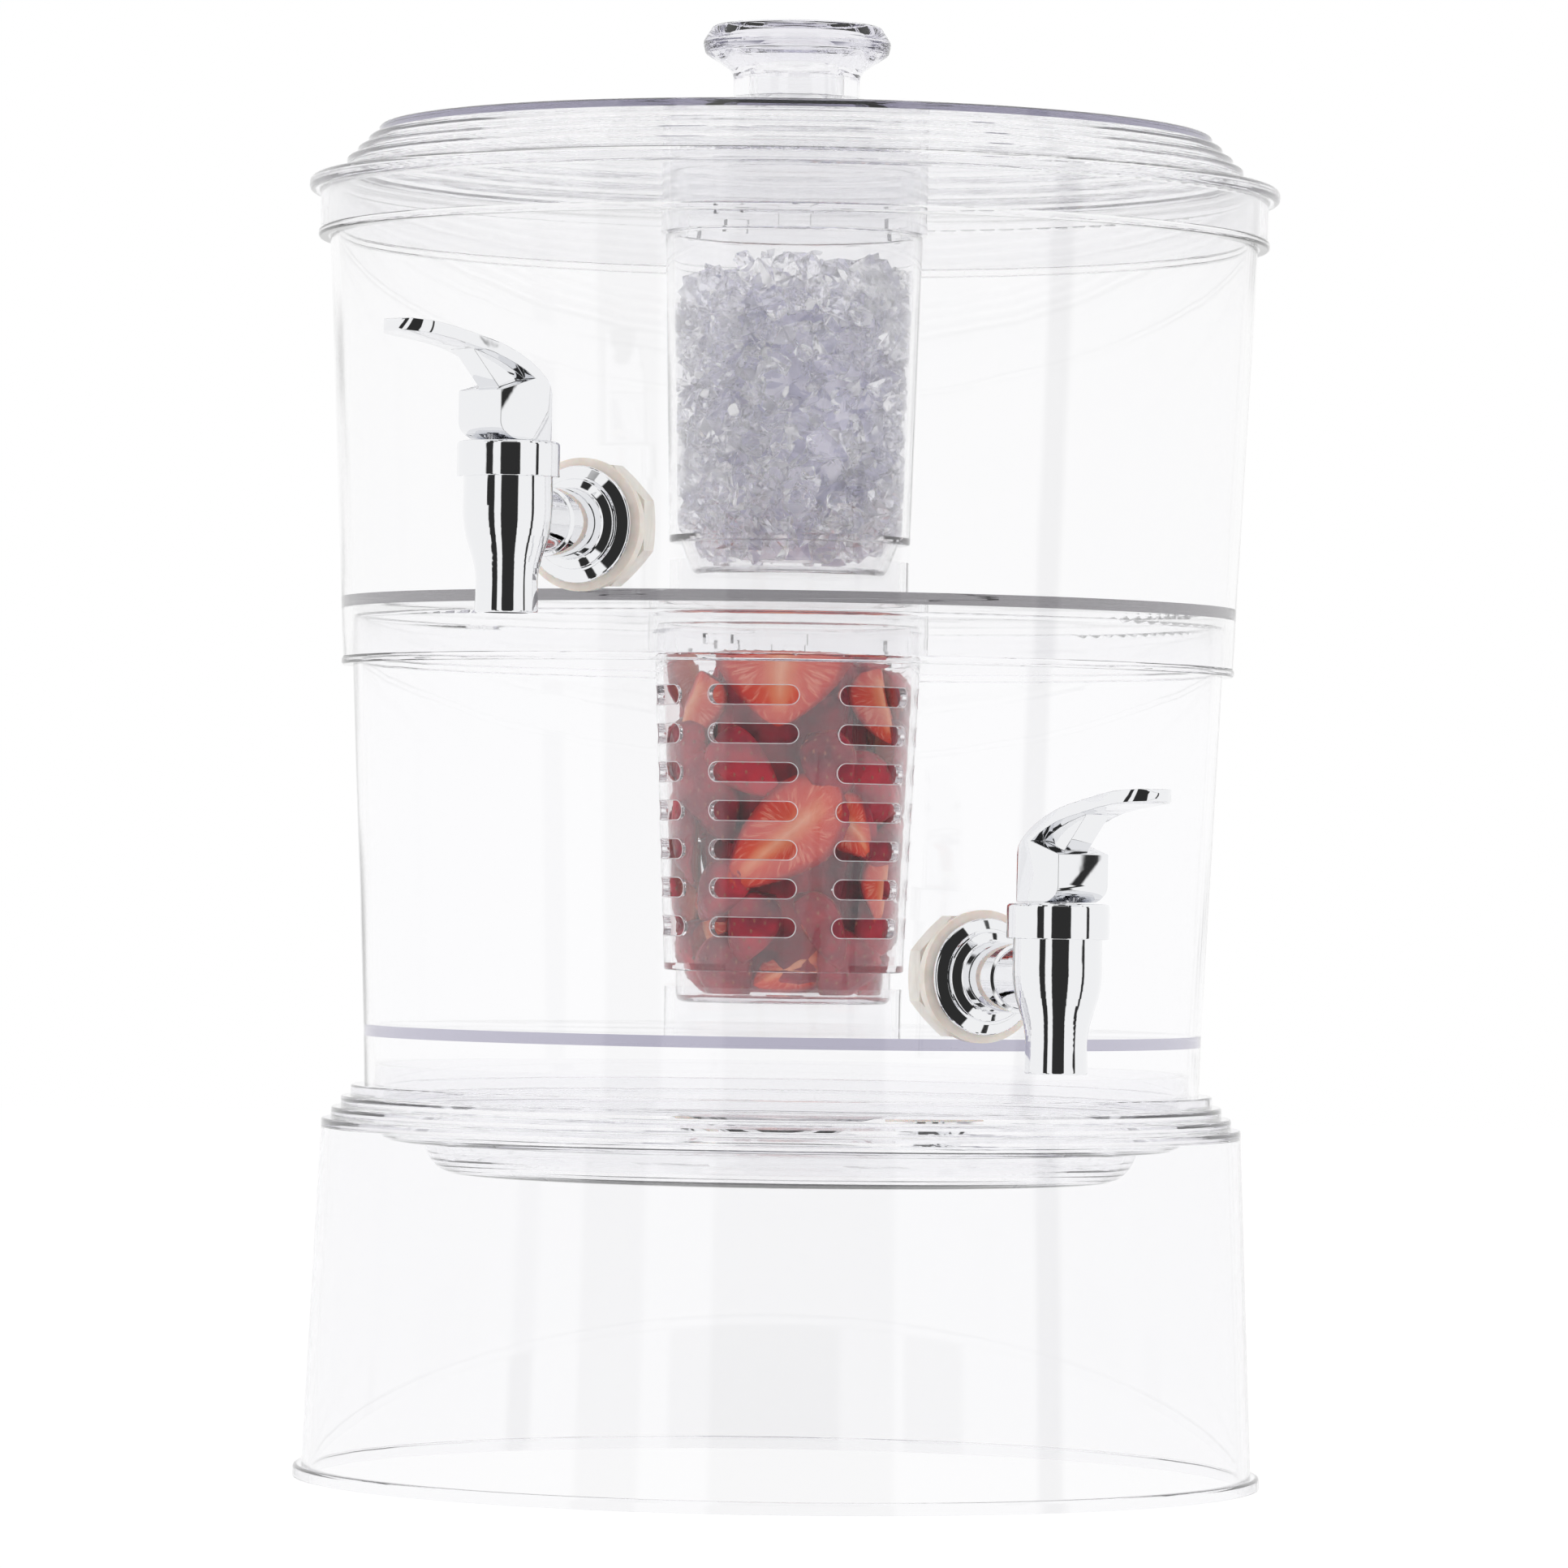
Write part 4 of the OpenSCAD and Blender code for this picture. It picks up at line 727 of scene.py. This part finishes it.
# %% Fruit finishes
def berry_skin():
    made, tree, shader = finish("berry_skin", (0.25, 0.004, 0.01), Metallic=0.0, Specular_IOR_Level=0.1,
                                Subsurface_Weight=0.1, Subsurface_Scale=3 * mm)
    blotch = node(tree, "ShaderNodeTexNoise", "ripeness", Vector=scaled_position(tree, (70, 70, 70)),
                  Scale=1.0, Detail=4.0)
    ripe = ramp(tree, blotch.outputs["Fac"], (0.32, (0.1, 0.0005, 0.012)), (0.5, (0.27, 0.002, 0.022)),
                (0.7, (0.5, 0.008, 0.03)))
    tree.links.new(ripe, shader.inputs["Base Color"])
    cells = node(tree, "ShaderNodeTexVoronoi", "dimples", Vector=scaled_position(tree, (330, 330, 330)),
                 Scale=1.0)
    rough = node(tree, "ShaderNodeMapRange", Value=blotch.outputs["Fac"], To_Min=0.2, To_Max=0.42)
    tree.links.new(rough.outputs["Result"], shader.inputs["Roughness"])
    bump = node(tree, "ShaderNodeBump", Strength=0.5, Distance=0.8 * mm, Height=cells.outputs["Distance"])
    tree.links.new(bump.outputs["Normal"], shader.inputs["Normal"])
    return made


def berry_flesh():
    made, tree, shader = finish("berry_flesh", (0.8, 0.2, 0.1), Metallic=0.0, Specular_IOR_Level=0.15,
                                Subsurface_Weight=0.15, Subsurface_Scale=3 * mm)
    depth = fact(tree, "depth")
    along = fact(tree, "along")
    strand_place = node(tree, "ShaderNodeCombineXYZ", X=math_node(tree, "MULTIPLY", along, 34.0),
                        Y=math_node(tree, "MULTIPLY", depth, 2.5), Z=0.0)
    strands = node(tree, "ShaderNodeTexNoise", "strands", Vector=strand_place.outputs[0], Scale=1.0,
                   Detail=2.0, Distortion=0.6)
    cloud = node(tree, "ShaderNodeTexNoise", "uneven flesh", Vector=scaled_position(tree, (120, 120, 120)),
                 Scale=1.0, Detail=3.0)
    blurred = math_node(tree, "MULTIPLY_ADD", cloud.outputs["Fac"], 0.22,
                        math_node(tree, "ADD", depth, -0.11))
    plain_flesh = ramp(tree, blurred, (0.0, (0.8, 0.34, 0.2)), (0.14, (0.74, 0.2, 0.09)),
                       (0.32, (0.66, 0.06, 0.018)), (0.8, (0.56, 0.02, 0.009)),
                       (0.95, (0.34, 0.005, 0.008)))
    pale = ramp(tree, strands.outputs["Fac"], (0.52, (0, 0, 0)), (0.68, (1, 1, 1)))
    share = math_node(tree, "MULTIPLY", math_node(tree, "MULTIPLY", pale, 0.5),
                      between(tree, depth, 0.25, 0.86, 0.1))
    streaked = tree.nodes.new("ShaderNodeMix")
    streaked.data_type = "RGBA"
    tree.links.new(share, streaked.inputs["Factor"])
    tree.links.new(plain_flesh, streaked.inputs[6])
    streaked.inputs[7].default_value = (0.85, 0.4, 0.27, 1)
    tree.links.new(streaked.outputs[2], shader.inputs["Base Color"])
    rough = node(tree, "ShaderNodeMapRange", Value=cloud.outputs["Fac"], To_Min=0.22, To_Max=0.5)
    tree.links.new(rough.outputs["Result"], shader.inputs["Roughness"])
    bump = node(tree, "ShaderNodeBump", Strength=0.4, Distance=0.6 * mm, Height=strands.outputs["Fac"])
    tree.links.new(bump.outputs["Normal"], shader.inputs["Normal"])
    return made


skin = berry_skin()
flesh = berry_flesh()
print("fruit finishes:", skin.name, flesh.name)


# %% [markdown]
# ## Cutting a berry
# The berry's outline is a sine whose argument runs faster near the leafy end, which gives the
# broad shoulder and the blunt tip. A slow noise makes every berry a little crooked, and the cut
# faces dip towards the core, as the fruit is hollow there.

# %% One piece of a strawberry
shoulder = 0.62
bluntness = 0.72
slow_noise = 0.07
crookedness = 0.16
core_dip = 0.7
core_size = 0.12


def berry_radius(t, radius):
    """The berry's radius at t, which runs from 0 at the leaves to 1 at the tip."""
    return radius * max(math.sin(math.pi * t ** shoulder), 0) ** bluntness


def berry_piece(work, length, radius, opening, facing, axis, centre, seed):
    """Adds a wedge to the bmesh: facing points to its skin side, axis from its tip to its leaves."""
    depth_layer, along_layer = (work.verts.layers.float[name] for name in ("depth", "along"))
    rows = 16
    turns = max(5, round(opening / 11))
    steps = 7
    axis = Vector(axis).normalized()
    facing = Vector(facing)
    facing = (facing - axis * facing.dot(axis)).normalized()
    side = axis.cross(facing)
    hollow = 1 if opening > 150 else 0.4

    def place(t, turn, s):
        angle = math.radians(turn - opening / 2)
        r = berry_radius(t, radius) * s
        spot = facing * (r * math.cos(angle)) + side * (r * math.sin(angle)) + axis * (length * (0.5 - t))
        own_noise = Vector((seed * 7.3, 0, 0))
        bend = noise.noise(spot * slow_noise + own_noise) * crookedness * radius * s
        dent = 0
        if s < 0.6:
            dent = -core_dip * math.exp(-((s - core_size) / core_size) ** 2) * math.sin(math.pi * t)
        return Vector(centre) + spot + facing * (bend + dent * hollow)

    def grid(columns, point, facts, material, flip):
        rows_of = []
        for i in range(rows + 1):
            row = []
            for k in range(columns + 1):
                made = work.verts.new(point(i / rows, k / columns) * mm)
                made[depth_layer], made[along_layer] = facts(i / rows, k / columns)
                row.append(made)
            rows_of.append(row)
        for i in range(rows):
            for k in range(columns):
                ring = [rows_of[i][k], rows_of[i + 1][k], rows_of[i + 1][k + 1], rows_of[i][k + 1]]
                face = work.faces.new(ring[::-1] if flip else ring)
                face.material_index = material
                face.smooth = True

    def cut(t, s):
        r = berry_radius(t, radius) * s
        return max(s, abs(2 * t - 1) ** 4), math.atan2(r, length * (t - 0.4)) / math.pi

    grid(turns, lambda t, u: place(t, u * opening, 1), lambda t, u: (1, t), 0, False)
    grid(steps, lambda t, u: place(t, 0, u), cut, 1, False)
    grid(steps, lambda t, u: place(t, opening, u), cut, 1, True)


# %% [markdown]
# ## Packing the infuser
# Six cut pieces that show clearly in the photograph are given one by one. The rest stand in rings
# along the wall, most with their skins outwards, leaning at random. As in the real tube, the
# soft fruit gives way at the wall: points that would lie outside are pressed back to its inner
# face.

# %% Fill the infuser
# heights in the tube, and its inner radius there
fruit_inside = ([155, 164.8, 165, 262, 262.1, 273], [31.6, 32.4, 35.8, 40.1, 39.4, 39.4])
fruit_floor = 155.4
shown = [
    # length, radius, opening, direction of the skin side, axis, centre
    (50, 14, 180, (0.05, 1, -0.1), (0.76, 0, 0.65), (-1, -36, 205)),
    (38, 22, 180, (0, 1, -0.1), (0.05, 0, 1), (-2, -33, 259)),
    (26, 11, 110, (0.75, 0.6, 0.1), (0.35, -0.2, 0.9), (-31, -17, 246)),
    (26, 11, 100, (-0.7, 0.75, 0), (-0.2, 0.1, 1), (31, -18, 248)),
    (27, 9, 180, (0.25, 1, 0.1), (-0.72, 0, 0.6), (22, -30, 208)),
    (24, 8, 120, (-0.8, 0.5, 0), (0.1, 0.1, 1), (31, -18, 189)),
]
room_round_shown = 6.5
share_of_radius = 0.8
ring_heights = np.arange(164, 266, 13)
ring_count = 8
skin_outwards = 0.88
first_ring_seed = 20

work = bmesh.new()
for name in ("depth", "along"):
    work.verts.layers.float.new(name)
for seed, piece in enumerate(shown):
    berry_piece(work, *piece, seed)
taken = np.array([piece[5] for piece in shown])
keep_clear = np.array([room_round_shown + share_of_radius * piece[1] for piece in shown])
pieces = len(shown)
for layer, z in enumerate(ring_heights):
    for slot in range(ring_count):
        stagger = 0.5 * (layer % 2)
        turn = math.tau * (slot + stagger + rng.uniform(-0.15, 0.15)) / ring_count
        out = Vector((math.cos(turn), math.sin(turn), 0))
        across = Vector((-out.y, out.x, 0))
        lean = rng.uniform(0, math.pi)
        axis = across * math.cos(lean) + Vector((0, 0, 1)) * math.sin(lean)
        radius = rng.uniform(10, 13)
        length = rng.uniform(25, 36)
        from_axis = np.interp(z, *fruit_inside) - 0.78 * radius
        centre = out * from_axis + Vector((0, 0, z + rng.uniform(-3, 3)))
        opening = rng.choice([90, 120, 180])
        if (np.linalg.norm(taken - np.array(centre), axis=1) < keep_clear).any():
            continue
        skin_side = out if rng.random() < skin_outwards else -out
        berry_piece(work, length, radius, opening, skin_side, axis, centre, first_ring_seed + pieces)
        pieces += 1
bmesh.ops.remove_doubles(work, verts=work.verts, dist=1e-6)
fruit_mesh = bpy.data.meshes.new("strawberry_pieces")
work.to_mesh(fruit_mesh)
work.free()
for material in (skin, flesh):
    fruit_mesh.materials.append(material)
fruit = new_object("strawberry_pieces", fruit_mesh)
pressed = press_inside(fruit, fruit_inside, fruit_floor, gap=0.3)
print("strawberry pieces:", pieces, "faces:", len(fruit_mesh.polygons), "pressed points:", pressed)

# %% [markdown]
# The pile ends softly: above the rim each point keeps less and less of its height, so no berry
# reaches the floor of the tank above. A plain lump fills the middle, which nobody sees, and keeps
# light from shining through the gaps between the berries.

# %% Close the pile
rim = 257 * mm
soft = 8 * mm
for vertex in fruit_mesh.vertices:
    if vertex.co.z > rim:
        vertex.co.z = rim + soft * (1 - math.exp((rim - vertex.co.z) / soft))
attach(fruit, "infuser")
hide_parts("strawberries")
fruit_heart = lump("fruit_heart", [(156, 16), (160, 24), (180, 25), (215, 26), (250, 27), (264, 22)],
                   sides=28, wobble=0.12, material=skin, body="infuser")
print("top of the fruit:", round(max(vertex.co.z for vertex in fruit_mesh.vertices) / mm, 1), "mm")

# %% [markdown]
# ## Seeds
# A strawberry carries a seed every three millimetres. They are scattered over the skin faces
# alone with a least distance between them, and each lies flat on the skin, so one small mesh
# serves for all.

# %% Seeds from Geometry Nodes
seed_spacing = 3.1 * mm
seed_length = 0.75 * mm
seed_shape = (0.62, 1.0, 0.4)
most_seeds_per_square_metre = 4e5
seed_tree, seed_in, seed_out = geometry_tree("berry_seeds", Spacing="NodeSocketFloat",
                                             Length="NodeSocketFloat", Seed_Finish="NodeSocketMaterial")
scatter_node = seed_tree.nodes.new("GeometryNodeDistributePointsOnFaces")
scatter_node.distribute_method = "POISSON"
scatter_node.inputs["Density Max"].default_value = most_seeds_per_square_metre
scatter_node.inputs["Seed"].default_value = 3
seed_tree.links.new(seed_in["Geometry"], scatter_node.inputs["Mesh"])
seed_tree.links.new(seed_in["Spacing"], scatter_node.inputs["Distance Min"])
seed_tree.links.new(named(seed_tree, "is_skin", "FLOAT"), scatter_node.inputs["Selection"])
grain = seed_tree.nodes.new("GeometryNodeMeshIcoSphere")
grain.inputs["Subdivisions"].default_value = 1
flat = seed_tree.nodes.new("GeometryNodeTransform")
flat.inputs["Scale"].default_value = seed_shape
seed_tree.links.new(seed_in["Length"], grain.inputs["Radius"])
seed_tree.links.new(grain.outputs["Mesh"], flat.inputs["Geometry"])
on_skin = seed_tree.nodes.new("GeometryNodeInstanceOnPoints")
for source, target in ((scatter_node.outputs["Points"], "Points"), (flat.outputs[0], "Instance"),
                       (scatter_node.outputs["Rotation"], "Rotation")):
    seed_tree.links.new(source, on_skin.inputs[target])
end_tree(seed_tree, on_skin, seed_in["Seed Finish"], seed_out[0])

marks = fruit_mesh.attributes.new("is_skin", "FLOAT", "FACE")
marks.data.foreach_set("value", [1.0 - face.material_index for face in fruit_mesh.polygons])
seed_finish = soft_polymer("berry_seed", (0.2, 0.02, 0.012), (0.34, 0.07, 0.025), roughness=0.35, bleed=0.0)
seeds = grown("strawberry_seeds", fruit_mesh.copy(), seed_tree,
              {"Spacing": seed_spacing, "Length": seed_length, "Seed Finish": seed_finish})
press_inside(seeds, fruit_inside, fruit_floor, gap=0.2)
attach(seeds, "infuser")
print("seed faces:", len(seeds.data.polygons))


# %% [markdown]
# ## Slot edges
# Each slot of the infuser shows as a fine pale outline, where its rounded edge catches the
# light. A bevel on the wall would mean cutting its mesh anew; a fine bead that follows the slot's
# outline on the cone-shaped wall reads the same, and its pale matt colour is a painted highlight.
# One outline is worked out as an angle and a height, and all the slots repeat it.

# %% Beads round the infuser's slots
def slot_edges(name, rows, columns, first_z, pitch, high, wide, turn, wall, bead):
    verts = []
    faces = []
    corners = 6
    half_wide = wide / 2 - math.degrees(math.asin(high / 2 / wall(first_z)))
    outline = [(end, a) for end in (1, -1) for a in range(-90, 91, 15)]
    for row in range(rows):
        for column in range(columns):
            middle_z = first_z - row * pitch
            places = []
            for end, a in outline:
                swing = high / 2 * math.cos(math.radians(a)) * end
                z = middle_z + high / 2 * math.sin(math.radians(a)) * end
                r = wall(z)
                angle = math.radians(turn + column * 360 / columns + end * half_wide) + swing / r
                places.append(Vector((r * math.cos(angle), r * math.sin(angle), z)))
            start = len(verts)
            count = len(places)
            for i, place in enumerate(places):
                along = (places[(i + 1) % count] - places[i - 1]).normalized()
                out = Vector((place.x, place.y, 0)).normalized()
                side = along.cross(out).normalized()
                verts += [place + out * (bead * math.cos(math.tau * k / corners))
                          + side * (bead * math.sin(math.tau * k / corners)) for k in range(corners)]
            for i in range(count):
                for k in range(corners):
                    here = start + i * corners
                    there = start + (i + 1) % count * corners
                    faces.append((here + k, here + (k + 1) % corners, there + (k + 1) % corners, there + k))
    mesh = bpy.data.meshes.new(name)
    mesh.from_pydata([tuple(v * mm) for v in verts], [], faces)
    work = bmesh.new()
    work.from_mesh(mesh)
    bmesh.ops.recalc_face_normals(work, faces=work.faces)
    work.to_mesh(mesh)
    work.free()
    for face in mesh.polygons:
        face.use_smooth = True
    return new_object(name, mesh)


wall_bottom = 162.6
wall_top = 262.0
radius_at_bottom = 38.2
widening = 4.3


def infuser_wall(z):
    """The radius of the infuser's outer face at a height, both in millimetres."""
    return radius_at_bottom + widening * (z - wall_bottom) / (wall_top - wall_bottom)


# The beads' pale matt colour is a painted highlight: it stands in for the light that the slots' rounded
# edges catch.
painted_slot_highlight = soft_polymer("painted_slot_highlight", (0.62, 0.56, 0.58), (0.82, 0.78, 0.8), roughness=0.3, bleed=0.0)
edges = slot_edges("infuser_slot_edges", rows=7, columns=6, first_z=250.3, pitch=12.25, high=6.3,
                   wide=42, turn=-105.8, wall=infuser_wall, bead=0.15)
edges.data.materials.append(painted_slot_highlight)
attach(edges, "infuser")
print("slot edge faces:", len(edges.data.polygons))

# %% [markdown]
# ## Rounded levers
# Plated parts have no sharp edge: the plating needs a radius, and the thin bright line that an
# edge shows is the studio mirrored in that radius. The CAD levers have plain corners, so each
# is replaced by a copy in the same place whose corners are bevelled.

# %% Levers with rounded corners
same_point = 2e-6
flat_within = math.radians(1)
corner_above = math.radians(30)


def rounded_copy(source, body, name, width, segments):
    plain_mesh = parts[source].data.copy()
    plain_mesh.transform(parts[source].matrix_world)
    work = bmesh.new()
    work.from_mesh(plain_mesh)
    bmesh.ops.remove_doubles(work, verts=work.verts, dist=same_point)
    bmesh.ops.dissolve_limit(work, angle_limit=flat_within, verts=work.verts, edges=work.edges)
    for face in work.faces:
        face.smooth = True
    work.to_mesh(plain_mesh)
    work.free()
    holder = new_object(name + "_plain", plain_mesh)
    edge = holder.modifiers.new("rounded corners", "BEVEL")
    edge.width = width
    edge.segments = segments
    edge.limit_method = "ANGLE"
    edge.angle_limit = corner_above
    edge.harden_normals = True
    edge.use_clamp_overlap = True
    mesh = as_plain_mesh(holder)
    mesh.materials.clear()
    mesh.materials.append(chrome)
    made = new_object(name, mesh)
    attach(made, body)
    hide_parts(source)
    return made


for tier in ("upper", "lower"):
    lever = rounded_copy(f"{tier}_tap_handle", f"{tier}_handle", f"{tier}_tap_lever", 0.6 * mm, 3)
    print(lever.name, "faces:", len(lever.data.polygons))
